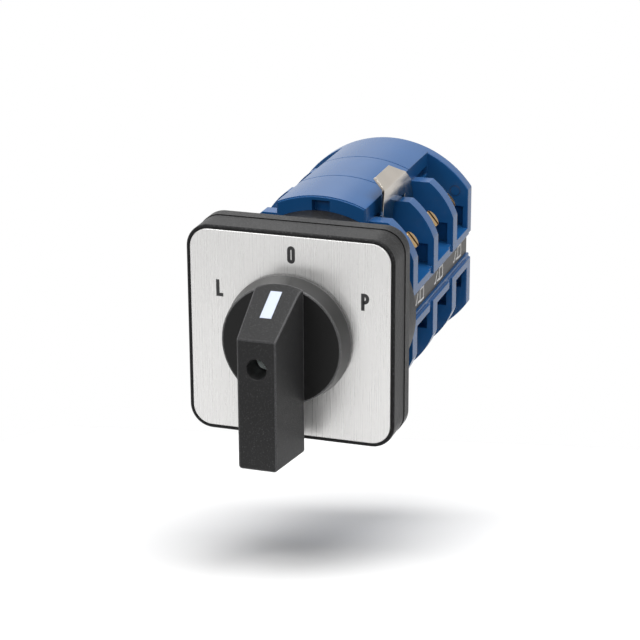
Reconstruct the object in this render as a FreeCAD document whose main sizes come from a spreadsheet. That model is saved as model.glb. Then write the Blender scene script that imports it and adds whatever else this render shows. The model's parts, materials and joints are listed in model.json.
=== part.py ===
import FreeCAD, Part
import math
import os

import Sketcher

# Rotary cam switch with three contact stages, modelled in millimetres.
# X points right, Y back along the shaft and Z up. The origin is on the shaft's axis,
# at the plane where the front frame and the mounting plate clamp the panel.

DRIVING_SIZES = {
    # front plate, frame and mounting plate
    "plate_side": 61.8,
    "plate_round": 6.0,
    "plate_thick": 0.8,
    "bezel_rim": 1.1,
    "bezel_depth": 10.5,
    "head_pocket": 4.6,
    "head_pocket_deep": 6.0,
    "bezel_edge": 0.8,
    "centre_hole": 6.2,
    "mount_extra": 0.2,
    "mount_thick": 5.0,
    "panel_pitch": 48.0,
    "panel_hole": 2.25,
    # shaft
    "shaft_side": 8.0,
    "shaft_front": 15.5,
    "shaft_end": 4.0,
    "shaft_end_length": 2.8,
    "thread_radius": 2.0,
    "thread_depth": 11.0,
    "journal_radius": 7.0,
    "journal_gap": 0.05,
    # handle
    "handle_gap": 0.3,
    "skirt_radius": 19.4,
    "skirt_front": 18.4,
    "skirt_depth": 7.7,
    "skirt_band": 1.5,
    "grip_half_front": 5.8,
    "grip_half_back": 7.0,
    "grip_depth": 21.0,
    "grip_low_front": 30.8,
    "grip_low_back": 32.8,
    "grip_top": 8.7,
    "slope_top": 18.9,
    "slope_run": 20.6,
    "grip_edge": 0.45,
    "head_hole": 3.05,
    "head_sunk": 8.0,
    "head_radius": 2.75,
    "head_height": 2.4,
    "head_shank": 1.95,
    "head_slot": 1.1,
    "marker_width": 3.44,
    "marker_start": 3.05,
    "marker_length": 10.9,
    "marker_depth": 0.5,
    "marker_proud": 0.08,
    # latch
    "collar_radius": 30.2,
    "collar_depth": 14.0,
    "collar_floor": 2.5,
    "star_radius": 11.5,
    "star_valley": 10.0,
    "star_scallop": 4.2,
    "star_thick": 9.0,
    "star_room": 1.7,
    "latch_gap": 0.3,
    "nose_radius": 3.0,
    "slider_half": 5.6,
    "slider_length": 4.2,
    "slider_thick": 8.0,
    "slot_gap": 0.4,
    "slot_reach": 25.5,
    "latch_coil": 2.6,
    "latch_wire": 0.7,
    "latch_seat": 2.5,
    # contact stages
    "pitch": 23.24,
    "saddle_radius": 34.7,
    "saddle_wall": 0.9,
    "seam_step": 0.4,
    "wing_half": 28.16,
    "wing_top": 27.0,
    "wing_flat": 20.0,
    "wing_bend": 15.7,
    "wing_round": 24.0,
    "wing_front": 3.7,
    "wing_thick": 5.1,
    "rail_high": 6.8,
    "rail_step": 0.6,
    "groove_low": 3.1,
    "groove_high": 4.4,
    "groove_ledge": 27.3,
    "strip_outer": 26.4,
    "strip_thick": 1.2,
    "recess_in": 20.8,
    "recess_out": 26.1,
    "recess_high": 13.9,
    "recess_depth": 4.2,
    "window_half": 2.8,
    "window_low": 29.4,
    "window_high": 33.2,
    "window_depth": 3.0,
    "side_recess": 1.8,
    "side_recess_low": 24.2,
    "side_recess_high": 27.0,
    "bolt_across": 8.0,
    "bolt_up": 25.0,
    "bolt_radius": 2.0,
    "bolt_gap": 0.2,
    "bolt_head": 3.7,
    "bolt_head_high": 2.8,
    # cams and moving contacts
    "cam_mean": 9.0,
    "cam_lift": 1.8,
    "cam_turn": 60.0,
    "cam_thick": 9.0,
    "cam_room": 1.1,
    "cam_gap": 0.3,
    "tip_radius": 1.8,
    "plunger_wall": 1.6,
    "plunger_half": 3.2,
    "plunger_back": 1.8,
    "plunger_side_gap": 0.3,
    "chamber_half": 9.3,
    "chamber_room": 0.6,
    "guide_room": 0.4,
    "bridge_in": 15.6,
    "bridge_thick": 1.2,
    "bridge_wide": 5.0,
    "bridge_half": 8.3,
    "button_radius": 1.6,
    "button_thick": 0.5,
    "button_up": 6.8,
    "contact_gap": 0.1,
    "spring_coil": 2.3,
    "spring_wire": 0.6,
    "spring_seat": 1.2,
    "spring_room": 2.8,
    "spring_turns": 4.0,
    # fixed contacts and terminals
    "strap_thick": 1.0,
    "strap_half": 4.8,
    "strap_low": 4.8,
    "seat_angle": 39.0,
    "seat_radius": 23.4,
    "seat_lip": 4.45,
    "clamp_side": 7.0,
    "clamp_thick": 1.6,
    "terminal_head": 2.8,
    "terminal_shift": 0.8,
    "terminal_head_high": 4.0,
    "terminal_shank": 1.9,
    "terminal_tip": 20.2,
    "terminal_recess": 2.3,
    "terminal_slot": 1.2,
    # rear cover
    "rear_step": 0.5,
    "rear_half": 27.9,
    "rear_thick": 4.8,
    # jumper link
    "link_thick": 0.9,
    "link_foot": 20.9,
    "link_stand": 1.9,
    "link_lean": 0.9,
    "link_rise": 3.6,
    "link_tab_over": 0.2,
    "link_tab_rise": 7.1,
    "link_bend": 1.1,
}

STAGES = 3
QUADRANTS = {
    "upper_right": (1, 1),
    "lower_right": (1, -1),
    "upper_left": (-1, 1),
    "lower_left": (-1, -1),
}

doc = FreeCAD.newDocument("rotary_cam_switch")
sheet = doc.addObject("Spreadsheet::Sheet", "Sizes")


class Size:
    """A number with the sheet expression that gives it, so that both follow one another."""

    def __init__(self, value, text):
        self.value = value
        self.text = text

    def joined(self, other, sign, value):
        return Size(value, f"({self.text} {sign} {as_size(other).text})")

    def __add__(self, other):
        return self.joined(other, "+", self.value + as_size(other).value)

    def __sub__(self, other):
        return self.joined(other, "-", self.value - as_size(other).value)

    def __mul__(self, other):
        return self.joined(other, "*", self.value * as_size(other).value)

    def __truediv__(self, other):
        return self.joined(other, "/", self.value / as_size(other).value)

    def __neg__(self):
        return Size(-self.value, f"(-1 * {self.text})")


def as_size(number):
    return number if isinstance(number, Size) else Size(float(number), repr(float(number)))


def root(size):
    return Size(math.sqrt(size.value), f"sqrt({size.text})")


def sine(size):
    return Size(math.sin(math.radians(size.value)), f"sin({size.text} * 1 deg)")


def cosine(size):
    return Size(math.cos(math.radians(size.value)), f"cos({size.text} * 1 deg)")


class Sheet:
    """The driving sizes, each under its own alias."""


def fill_sheet(sizes):
    named = Sheet()
    for row, (alias, value) in enumerate(sizes.items(), start=1):
        sheet.set(f"A{row}", alias.replace("_", " "))
        sheet.set(f"B{row}", str(value))
        sheet.setAlias(f"B{row}", alias)
        setattr(named, alias, Size(value, f"Sizes.{alias}"))
    doc.recompute()
    return named


S = fill_sheet(DRIVING_SIZES)
ZERO = as_size(0)


def bind(obj, target, size):
    """Bind one property or constraint of an object to an expression of sheet sizes."""
    obj.setExpression(target, as_size(size).text)


def new_body(label, y=ZERO, x=ZERO, z=ZERO, turn=None):
    """A body whose own origin stands at x, y, z, turned by 180 degrees about an axis if asked."""
    body = doc.addObject("PartDesign::Body", label)
    body.Label = label
    place(body, x, y, z, turn)
    return body


def place(obj, x, y, z, turn=None):
    if turn is not None:
        obj.Placement = FreeCAD.Placement(FreeCAD.Vector(), FreeCAD.Rotation(FreeCAD.Vector(*turn), 180))
    for name, size in (("x", x), ("y", y), ("z", z)):
        bind(obj, f"Placement.Base.{name}", size)


def new_sketch(body, name, plane="XZ_Plane", offset=ZERO):
    """A sketch on an origin plane of its own body. On XZ the offset is along +Y, on YZ along +X."""
    sketch = body.newObject("Sketcher::SketchObject", name)
    features = body.Origin.OriginFeatures
    support = [item for item in features if item.Role == plane][0]
    sketch.AttachmentSupport = [(support, "")]
    sketch.MapMode = "FlatFace"
    bind(sketch, "AttachmentOffset.Base.z", -as_size(offset) if plane == "XZ_Plane" else offset)
    return sketch


def hold(sketch, kind, geometry, corner, size):
    """Hold one coordinate of a point at a size, measured from the sketch's origin."""
    if size.value == 0 and size.text == ZERO.text:
        axis = -2 if kind == "DistanceX" else -1
        sketch.addConstraint(Sketcher.Constraint("PointOnObject", geometry, corner, axis))
        return
    index = sketch.addConstraint(Sketcher.Constraint(kind, -1, 1, geometry, corner, size.value))
    bind(sketch, f"Constraints[{index}]", size)


def add_circle(sketch, u, v, radius):
    u, v, radius = as_size(u), as_size(v), as_size(radius)
    centre = FreeCAD.Vector(u.value, v.value, 0)
    index = sketch.addGeometry(Part.Circle(centre, FreeCAD.Vector(0, 0, 1), radius.value), False)
    limit = sketch.addConstraint(Sketcher.Constraint("Radius", index, radius.value))
    bind(sketch, f"Constraints[{limit}]", radius)
    hold(sketch, "DistanceX", index, 3, u)
    hold(sketch, "DistanceY", index, 3, v)


def arc_between(start, end, radius):
    """The arc of a circle from start to end, turning left for a positive radius, right otherwise."""
    chord = end - start
    middle = (start + end) * 0.5
    left = FreeCAD.Vector(-chord.y, chord.x, 0).normalize()
    depth = math.sqrt(max(radius * radius - chord.Length ** 2 / 4, 0.0))
    centre = middle + left * (depth if radius > 0 else -depth)
    first, last = (start, end) if radius > 0 else (end, start)
    begin = math.atan2(first.y - centre.y, first.x - centre.x)
    finish = math.atan2(last.y - centre.y, last.x - centre.x)
    if finish < begin:
        finish += 2 * math.pi
    circle = Part.Circle(centre, FreeCAD.Vector(0, 0, 1), abs(radius))
    return Part.ArcOfCircle(circle, begin, finish)


def add_outline(sketch, points):
    """A closed outline. A point with a third entry starts an arc of that radius."""
    rows = [tuple(as_size(value) for value in point) for point in points]
    spots = [FreeCAD.Vector(row[0].value, row[1].value, 0) for row in rows]
    ends = []
    for number, row in enumerate(rows):
        start, end = spots[number], spots[(number + 1) % len(rows)]
        if len(row) == 3:
            index = sketch.addGeometry(arc_between(start, end, row[2].value), False)
            turned = row[2].value < 0
            size = -row[2] if turned else row[2]
            limit = sketch.addConstraint(Sketcher.Constraint("Radius", index, size.value))
            bind(sketch, f"Constraints[{limit}]", size)
            ends.append((index, 2, 1) if turned else (index, 1, 2))
        else:
            index = sketch.addGeometry(Part.LineSegment(start, end), False)
            ends.append((index, 1, 2))
    for number, row in enumerate(rows):
        index, first, last = ends[number]
        following = ends[(number + 1) % len(rows)]
        sketch.addConstraint(Sketcher.Constraint("Coincident", index, last, following[0], following[1]))
        hold(sketch, "DistanceX", index, first, row[0])
        hold(sketch, "DistanceY", index, first, row[1])


def box_outline(sketch, low_u, high_u, low_v, high_v):
    add_outline(sketch, [(low_u, low_v), (high_u, low_v), (high_u, high_v), (low_u, high_v)])


def rounded_square(sketch, half, corner):
    """A square of the given half side about the origin, with rounded corners."""
    flat = half - corner
    add_outline(sketch, [
        (half, -flat), (half, flat, corner), (flat, half), (-flat, half, corner),
        (-half, flat), (-half, -flat, corner), (-flat, -half), (flat, -half, corner),
    ])


def pad(body, name, sketch, length, flip=False):
    """Add material from the sketch. Towards +Y from XZ sketches, towards +X from YZ sketches."""
    feature = body.newObject("PartDesign::Pad", name)
    feature.Profile = sketch
    bind(feature, "Length", length)
    along_y = abs(sketch.Placement.Rotation.multVec(FreeCAD.Vector(0, 0, 1)).y) > 0.5
    feature.Reversed = along_y != flip
    finish_feature(body, feature, adds=True)
    return feature


def pocket(body, name, sketch, length):
    """Remove material from the sketch, towards +Y from XZ sketches and +X from YZ sketches."""
    feature = body.newObject("PartDesign::Pocket", name)
    feature.Profile = sketch
    bind(feature, "Length", length)
    along_y = abs(sketch.Placement.Rotation.multVec(FreeCAD.Vector(0, 0, 1)).y) > 0.5
    feature.Reversed = not along_y
    finish_feature(body, feature, adds=False)
    return feature


def finish_feature(body, feature, adds):
    """Recompute, and stop if a feature that should add or remove material did not."""
    before = feature.BaseFeature.Shape.Volume if feature.BaseFeature else 0.0
    doc.recompute()
    if feature.Shape.isNull():
        raise RuntimeError(f"{body.Label} {feature.Name} has no shape")
    change = feature.Shape.Volume - before
    if (change > 0) != adds:
        raise RuntimeError(f"{body.Label} {feature.Name} changed its volume by {change:.3f}")


def xz_pad(body, name, start, length, draw):
    sketch = new_sketch(body, name + "_sketch", "XZ_Plane", start)
    draw(sketch)
    doc.recompute()
    return pad(body, name, sketch, length)


def xz_pocket(body, name, start, length, draw):
    sketch = new_sketch(body, name + "_sketch", "XZ_Plane", start)
    draw(sketch)
    doc.recompute()
    return pocket(body, name, sketch, length)


def fixed_shape(label, shape, placement=None):
    """A piece whose form is worked out from the sheet by this file's own code."""
    piece = doc.addObject("Part::Feature", label)
    piece.Label = label
    piece.Shape = shape
    if placement is not None:
        piece.Placement = placement
    return piece


def part_box(name, low, high):
    """A box between two corners, each a triple of sizes."""
    box = doc.addObject("Part::Box", name)
    for prop, axis in (("Length", 0), ("Width", 1), ("Height", 2)):
        bind(box, prop, as_size(high[axis]) - low[axis])
    place(box, *low)
    return box


def part_rod(name, radius, start, end, x=ZERO, z=ZERO):
    """A round rod along Y from start to end."""
    rod = doc.addObject("Part::Cylinder", name)
    bind(rod, "Radius", radius)
    bind(rod, "Height", as_size(end) - start)
    rod.Placement = FreeCAD.Placement(FreeCAD.Vector(), FreeCAD.Rotation(FreeCAD.Vector(1, 0, 0), -90))
    for name_of_axis, size in (("x", x), ("y", start), ("z", z)):
        bind(rod, f"Placement.Base.{name_of_axis}", size)
    return rod


def combine(kind, label, first, second):
    """A Part::Cut of two objects, or a Part::MultiFuse of a list."""
    result = doc.addObject(kind, label)
    result.Label = label
    if kind == "Part::Cut":
        result.Base = first
        result.Tool = second
    else:
        result.Shapes = [first] + second
    doc.recompute()
    return result


def four_ways(draw):
    """Call draw once for each quadrant, with the signs of X and Z."""
    for side, up in QUADRANTS.values():
        draw(side, up)


def corner_box(sketch, side, up, low_x, high_x, low_z, high_z):
    """A rectangle given by its distances from the axis, laid in one quadrant."""
    us = sorted((as_size(low_x) * side, as_size(high_x) * side), key=lambda size: size.value)
    vs = sorted((as_size(low_z) * up, as_size(high_z) * up), key=lambda size: size.value)
    box_outline(sketch, us[0], us[1], vs[0], vs[1])


def mirrored_outline(sketch, side, up, points):
    """An outline given in the upper right quadrant, laid in another one."""
    moved = [(as_size(u) * side, as_size(v) * up) for u, v in points]
    add_outline(sketch, moved if side * up > 0 else moved[::-1])


# Planes along the shaft that several pieces share.
bezel_front = -S.bezel_depth
collar_front = S.mount_thick
collar_back = S.mount_thick + S.collar_depth
wing_back = S.wing_front + S.wing_thick
stage_middle = (wing_back + S.pitch) / 2
rear_front = collar_back + S.pitch * STAGES
rear_back = rear_front + S.rear_thick
handle_back = bezel_front - S.handle_gap
skirt_face = handle_back - S.skirt_depth
grip_face = skirt_face - S.grip_depth
head_face = grip_face + S.head_sunk
head_seat = head_face + S.head_height
shaft_tip = bezel_front - S.shaft_front
bezel_half = S.plate_side / 2 + S.bezel_rim
bezel_corner = S.plate_round + S.bezel_rim
strip_inner = S.strip_outer - S.strip_thick
seat_cos = cosine(S.seat_angle)
seat_sin = sine(S.seat_angle)
# The fixed contact's face stands where the bridge meets it when the cam has let the plunger in.
contact_face = S.bridge_in - S.cam_lift - S.contact_gap
strap_inner = contact_face - S.button_thick - S.strap_thick
saddle_half = strap_inner + S.strap_thick + S.saddle_wall
slot_top = (S.seat_radius + S.strap_thick - seat_cos * (strap_inner + S.strap_thick / 2)) / seat_sin
seat_reach = (S.seat_radius - seat_sin * (S.rail_high + S.seat_lip)) / seat_cos
chamber_reach = S.bridge_in + S.bridge_thick + S.cam_lift + S.chamber_room
plunger_tail = S.bridge_in + S.bridge_thick + S.plunger_back
guide_reach = plunger_tail + S.cam_lift + S.guide_room
rear_radius = S.saddle_radius - S.rear_step


def stage_start(number):
    return collar_back + S.pitch * (number - 1)


def square_bore(sketch):
    half = S.shaft_side / 2
    box_outline(sketch, -half, half, -half, half)


def bolt_circles(sketch, radius):
    four_ways(lambda side, up: add_circle(sketch, S.bolt_across * side, S.bolt_up * up, radius))


def panel_circles(sketch, radius):
    reach = S.panel_pitch / 2
    four_ways(lambda side, up: add_circle(sketch, reach * side, reach * up, radius))


def pick_edges(shape, wanted):
    """Names of the edges whose middle point and direction pass a test."""
    names = []
    for number, edge in enumerate(shape.Edges, start=1):
        first, last = edge.FirstParameter, edge.LastParameter
        middle = edge.valueAt((first + last) / 2)
        ends = edge.valueAt(last) - edge.valueAt(first)
        if wanted(middle, ends, edge):
            names.append(f"Edge{number}")
    return names


def fillet(body, name, radius, wanted):
    base = body.Tip
    feature = body.newObject("PartDesign::Fillet", name)
    feature.Base = (base, pick_edges(base.Shape, wanted))
    bind(feature, "Radius", radius)
    doc.recompute()
    return feature


def make_legend_plate():
    """Thin brushed plate with the shaft's hole. Its marks are printed on."""
    body = new_body("legend_plate", y=bezel_front)
    xz_pad(body, "plate", ZERO, S.plate_thick,
           lambda sketch: rounded_square(sketch, S.plate_side / 2, S.plate_round))
    xz_pocket(body, "hole", ZERO, S.plate_thick,
              lambda sketch: add_circle(sketch, ZERO, ZERO, S.centre_hole))
    return body


def make_front_bezel():
    """Moulded frame with a shallow bed for the legend plate and room behind for the screw heads."""
    body = new_body("front_bezel", y=bezel_front)
    xz_pad(body, "block", ZERO, S.bezel_depth,
           lambda sketch: rounded_square(sketch, bezel_half, bezel_corner))
    fillet(body, "front_edge", S.bezel_edge, lambda middle, ends, edge: abs(middle.y) < 1e-6)
    xz_pocket(body, "plate_bed", ZERO, S.plate_thick,
              lambda sketch: rounded_square(sketch, S.plate_side / 2, S.plate_round))
    xz_pocket(body, "head_pockets", S.bezel_depth - S.head_pocket_deep, S.head_pocket_deep,
              lambda sketch: panel_circles(sketch, S.head_pocket))
    xz_pocket(body, "hole", ZERO, S.bezel_depth,
              lambda sketch: add_circle(sketch, ZERO, ZERO, S.centre_hole))
    return body


def make_mounting_plate():
    """Square plate behind the panel, with the four fixing holes and the tie bolts' threads."""
    body = new_body("mounting_plate")
    half = bezel_half + S.mount_extra
    xz_pad(body, "plate", ZERO, S.mount_thick,
           lambda sketch: rounded_square(sketch, half, bezel_corner + S.mount_extra))
    fillet(body, "back_edge", S.bezel_edge,
           lambda middle, ends, edge: abs(middle.y - S.mount_thick.value) < 1e-6)
    xz_pocket(body, "hole", ZERO, S.mount_thick,
              lambda sketch: add_circle(sketch, ZERO, ZERO, S.centre_hole))
    xz_pocket(body, "panel_holes", ZERO, S.mount_thick,
              lambda sketch: panel_circles(sketch, S.panel_hole))
    xz_pocket(body, "bolt_threads", ZERO, S.mount_thick,
              lambda sketch: bolt_circles(sketch, S.bolt_radius + S.journal_gap))
    return body


def make_latch_housing():
    """Round housing with a bearing for the star's hub and a slot across it for both sliders."""
    body = new_body("latch_housing", y=collar_front)
    xz_pad(body, "drum", ZERO, S.collar_depth,
           lambda sketch: add_circle(sketch, ZERO, ZERO, S.collar_radius))
    depth = S.collar_depth - S.collar_floor
    xz_pocket(body, "star_room", S.collar_floor, depth,
              lambda sketch: add_circle(sketch, ZERO, ZERO, S.star_radius + S.star_room))
    slot_half = S.slider_half + S.slot_gap
    xz_pocket(body, "slider_slot", S.collar_floor, depth,
              lambda sketch: box_outline(sketch, -S.slot_reach, S.slot_reach, -slot_half, slot_half))
    xz_pocket(body, "bearing", ZERO, S.collar_floor,
              lambda sketch: add_circle(sketch, ZERO, ZERO, S.journal_radius + S.journal_gap))
    xz_pocket(body, "bolt_holes", ZERO, S.collar_depth,
              lambda sketch: bolt_circles(sketch, S.bolt_radius + S.bolt_gap))
    return body


def make_latch_star():
    """Six-lobed wheel. A slider drops into a valley every 60 degrees."""
    body = new_body("latch_star", y=collar_front)
    room = S.collar_depth - S.collar_floor
    start = S.collar_floor + (room - S.star_thick) / 2
    xz_pad(body, "wheel", start, S.star_thick,
           lambda sketch: add_circle(sketch, ZERO, ZERO, S.star_radius))
    centre = S.star_valley + S.star_scallop
    scallop = xz_pocket(body, "scallop", start, S.star_thick,
                        lambda sketch: add_circle(sketch, centre, ZERO, S.star_scallop))
    pattern = body.newObject("PartDesign::PolarPattern", "valleys")
    pattern.Originals = [scallop]
    pattern.Axis = ([item for item in body.Origin.OriginFeatures if item.Role == "Y_Axis"][0], [""])
    pattern.Angle = 360
    pattern.Occurrences = 6
    body.Tip = pattern
    doc.recompute()
    xz_pad(body, "hub", S.journal_gap, S.collar_depth - S.journal_gap * 2,
           lambda sketch: add_circle(sketch, ZERO, ZERO, S.journal_radius))
    xz_pocket(body, "bore", ZERO, S.collar_depth, square_bore)
    return body


nose_tip = S.star_radius + S.latch_gap
nose_centre = nose_tip + S.nose_radius
slider_tail = nose_centre + S.slider_length
slider_start = S.collar_floor + (S.collar_depth - S.collar_floor - S.slider_thick) / 2


def make_latch_slider(side_name, turn):
    """Sprung block with a round nose that rides on the star's lobes."""
    body = new_body(f"latch_slider_{side_name}", y=collar_front, turn=turn)
    xz_pad(body, "block", slider_start, S.slider_thick, lambda sketch: add_outline(sketch, [
        (nose_centre, S.nose_radius, S.nose_radius), (nose_tip, ZERO, S.nose_radius),
        (nose_centre, -S.nose_radius),
        (nose_centre, -S.slider_half), (slider_tail, -S.slider_half),
        (slider_tail, S.slider_half), (nose_centre, S.slider_half),
    ]))
    seat = new_sketch(body, "seat_sketch", "YZ_Plane", slider_tail - S.latch_seat)
    add_circle(seat, slider_start + S.slider_thick / 2, ZERO, S.latch_coil + S.slot_gap)
    doc.recompute()
    pocket(body, "spring_seat", seat, S.latch_seat)
    return body


def coil_shape(radius, wire, length, turns):
    """A coil spring of round wire along +X, its wire's ends half a wire inside each end.

    Each half turn is half a ring whose plane is tilted by the coil's rise, so every ring
    runs on into the next one without a kink."""
    mean = radius - wire / 2
    halves = 2 * int(round(turns))
    rise = (length - wire) / halves
    across = FreeCAD.Vector(0, 1, 0)
    rings = []
    for number in range(halves):
        sign = 1 if number % 2 == 0 else -1
        start = FreeCAD.Vector(wire / 2 + number * rise, 0, sign * mean)
        middle = FreeCAD.Vector(start.x + rise / 2, 0, 0)
        section = Part.Face(Part.Wire(Part.makeCircle(wire / 2, start, across)))
        rings.append(section.revolve(middle, across.cross(middle - start) * sign, 180))
    return rings[0].multiFuse(rings[1:])


def make_spring(label, radius, wire, turns, start, end, y, side):
    """A spring along X between two distances from the axis, on one side."""
    coil = coil_shape(radius.value, wire.value, end.value - start.value, turns)
    placement = FreeCAD.Placement(FreeCAD.Vector(side * start.value, y.value, 0), turned_half(side))
    return fixed_shape(label, coil, placement)


def make_shaft():
    """Square bar with a threaded front end and a turned journal at the back."""
    half = S.shaft_side / 2
    bar = part_box("shaft_bar", (-half, shaft_tip, -half), (half, rear_front, half))
    end = part_rod("shaft_journal", S.shaft_end - S.journal_gap, rear_front, rear_front + S.shaft_end_length)
    solid = combine("Part::MultiFuse", "shaft_solid", bar, [end])
    thread = part_rod("shaft_thread", S.thread_radius, shaft_tip, shaft_tip + S.thread_depth)
    return combine("Part::Cut", "shaft", solid, thread)


def make_handle():
    """Moulded knob: a tapered skirt and a tapered grip with a sloped top for the marker."""
    body = new_body("handle")
    skirt = new_sketch(body, "skirt_sketch", "YZ_Plane")
    add_outline(skirt, [
        (skirt_face, ZERO), (handle_back, ZERO), (handle_back, S.skirt_radius),
        (handle_back - S.skirt_band, S.skirt_radius), (skirt_face, S.skirt_front),
    ])
    turned = body.newObject("PartDesign::Revolution", "skirt")
    turned.Profile = skirt
    turned.ReferenceAxis = (skirt, ["H_Axis"])
    turned.Angle = 360
    doc.recompute()
    over = S.slope_top + S.marker_start
    front = new_sketch(body, "grip_front_sketch", "XZ_Plane", grip_face)
    box_outline(front, -S.grip_half_front, S.grip_half_front, -S.grip_low_front, over)
    back = new_sketch(body, "grip_back_sketch", "XZ_Plane", skirt_face)
    box_outline(back, -S.grip_half_back, S.grip_half_back, -S.grip_low_back, over)
    doc.recompute()
    grip = body.newObject("PartDesign::AdditiveLoft", "grip")
    grip.Profile = front
    grip.Sections = [back]
    grip.Ruled = True
    finish_feature(body, grip, adds=True)
    outside = S.slope_top + S.skirt_radius
    low = S.slope_top / 2
    wide = root(S.slope_top * S.slope_top - low * low)
    xz_pocket(body, "round_top", grip_face, S.grip_depth, lambda sketch: add_outline(sketch, [
        (outside, low), (outside, outside), (-outside, outside), (-outside, low),
        (-wide, low, -S.slope_top), (wide, low),
    ]))
    rise = (S.slope_top - S.grip_top) / S.slope_run
    slope_end = grip_face + S.slope_run
    slope = new_sketch(body, "slope_sketch", "YZ_Plane", -outside)
    add_outline(slope, [
        (grip_face - 1, S.grip_top - rise), (slope_end, S.slope_top),
        (slope_end, outside), (grip_face - 1, outside),
    ])
    doc.recompute()
    pocket(body, "slope", slope, outside * 2)
    fillet(body, "grip_edges", S.grip_edge, lambda middle, ends, edge: is_grip_edge(middle, ends))
    xz_pocket(body, "head_hole", grip_face, head_seat - grip_face,
              lambda sketch: add_circle(sketch, ZERO, ZERO, S.head_hole))
    xz_pocket(body, "screw_hole", head_seat, shaft_tip - head_seat,
              lambda sketch: add_circle(sketch, ZERO, ZERO, S.thread_radius + S.bolt_gap))
    xz_pocket(body, "socket", shaft_tip, handle_back - shaft_tip, square_bore)
    bed = new_sketch(body, "marker_sketch", "YZ_Plane", -S.marker_width / 2)
    add_outline(bed, marker_outline(-S.marker_depth, S.marker_depth))
    doc.recompute()
    pocket(body, "marker_bed", bed, S.marker_width)
    return body


def is_grip_edge(middle, ends):
    """True for the long edges of the grip in front of the skirt."""
    in_front = middle.y < skirt_face.value - 1
    return in_front and ends.Length > 2 * S.grip_half_front.value - 1


def marker_outline(low, high):
    """The marker's section in the plane of the shaft, between two heights over the slope."""
    length = root(S.slope_run * S.slope_run + (S.slope_top - S.grip_top) * (S.slope_top - S.grip_top))
    along_y, along_z = S.slope_run / length, (S.slope_top - S.grip_top) / length
    end_y, end_z = grip_face + S.slope_run, S.slope_top

    def spot(back, over):
        return (end_y - along_y * back - along_z * over, end_z - along_z * back + along_y * over)

    near, far = S.marker_start, S.marker_start + S.marker_length
    return [spot(far, low), spot(near, low), spot(near, high), spot(far, high)]


def make_handle_marker():
    """Pale bar pressed into the grip's slope."""
    body = new_body("handle_marker")
    sketch = new_sketch(body, "bar_sketch", "YZ_Plane", -S.marker_width / 2)
    add_outline(sketch, marker_outline(-S.marker_depth, S.marker_proud))
    doc.recompute()
    pad(body, "bar", sketch, S.marker_width)
    return body


def cross_slots(name, face, depth, radius, width):
    """The two crossed slots of a screw head that faces -Y."""
    first = part_box(name + "_slot_1", (-radius, face, -width / 2), (radius, face + depth, width / 2))
    second = part_box(name + "_slot_2", (-width / 2, face, -radius), (width / 2, face + depth, radius))
    return combine("Part::MultiFuse", name + "_slots", first, [second])


def make_handle_screw():
    """Cross-head screw that holds the handle on the shaft."""
    head = part_rod("screw_head", S.head_radius, head_face, head_seat)
    shank = part_rod("screw_shank", S.head_shank, head_seat, shaft_tip + S.thread_depth - S.head_slot)
    solid = combine("Part::MultiFuse", "screw_solid", head, [shank])
    reach = S.head_radius * 0.72
    slots = cross_slots("screw", head_face, S.head_slot, reach, S.head_slot)
    return combine("Part::Cut", "handle_screw", solid, slots)


def saddle_outline(sketch, half, radius):
    """Two arcs about the axis joined by straight sides."""
    corner = root(radius * radius - half * half)
    add_outline(sketch, [
        (half, -corner), (half, corner, radius), (-half, corner), (-half, -corner, radius),
    ])


def wing_outline(sketch):
    """A divider wall: flat top and bottom, rounded shoulders and straight sides."""
    half, bend, flat, top, bow = S.wing_half, S.wing_bend, S.wing_flat, S.wing_top, S.wing_round
    add_outline(sketch, [
        (half, -bend), (half, bend, bow), (flat, top), (-flat, top, bow),
        (-half, bend), (-half, -bend, bow), (-flat, -top), (flat, -top, bow),
    ])


def seat_line(x):
    """Height of the terminals' sloped seat at a distance x from the axis."""
    return (S.seat_radius - seat_cos * x) / seat_sin


def strip_grooves(body, length):
    """The stepped groove along each side that holds a label strip."""
    beyond = S.wing_half + S.rail_step
    xz_pocket(body, "strip_groove", ZERO, length, lambda sketch: [
        corner_box_pair(sketch, side, strip_inner, beyond, S.groove_low) for side in (1, -1)])
    xz_pocket(body, "strip_ledge", ZERO, length, lambda sketch: [
        corner_box_pair(sketch, side, S.groove_ledge, beyond, S.groove_high) for side in (1, -1)])


def corner_box_pair(sketch, side, near, far, half):
    """A rectangle across the middle height, on one side."""
    us = sorted((near * side, far * side), key=lambda size: size.value)
    box_outline(sketch, us[0], us[1], -half, half)


def wing_recesses(body, start):
    """Blind recesses in a divider's front face, beside the rails."""
    def draw(sketch):
        four_ways(lambda side, up: corner_box(
            sketch, side, up, S.recess_in, S.recess_out, S.rail_high, S.recess_high))

    xz_pocket(body, "wing_recesses", start, S.recess_depth, draw)


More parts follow.
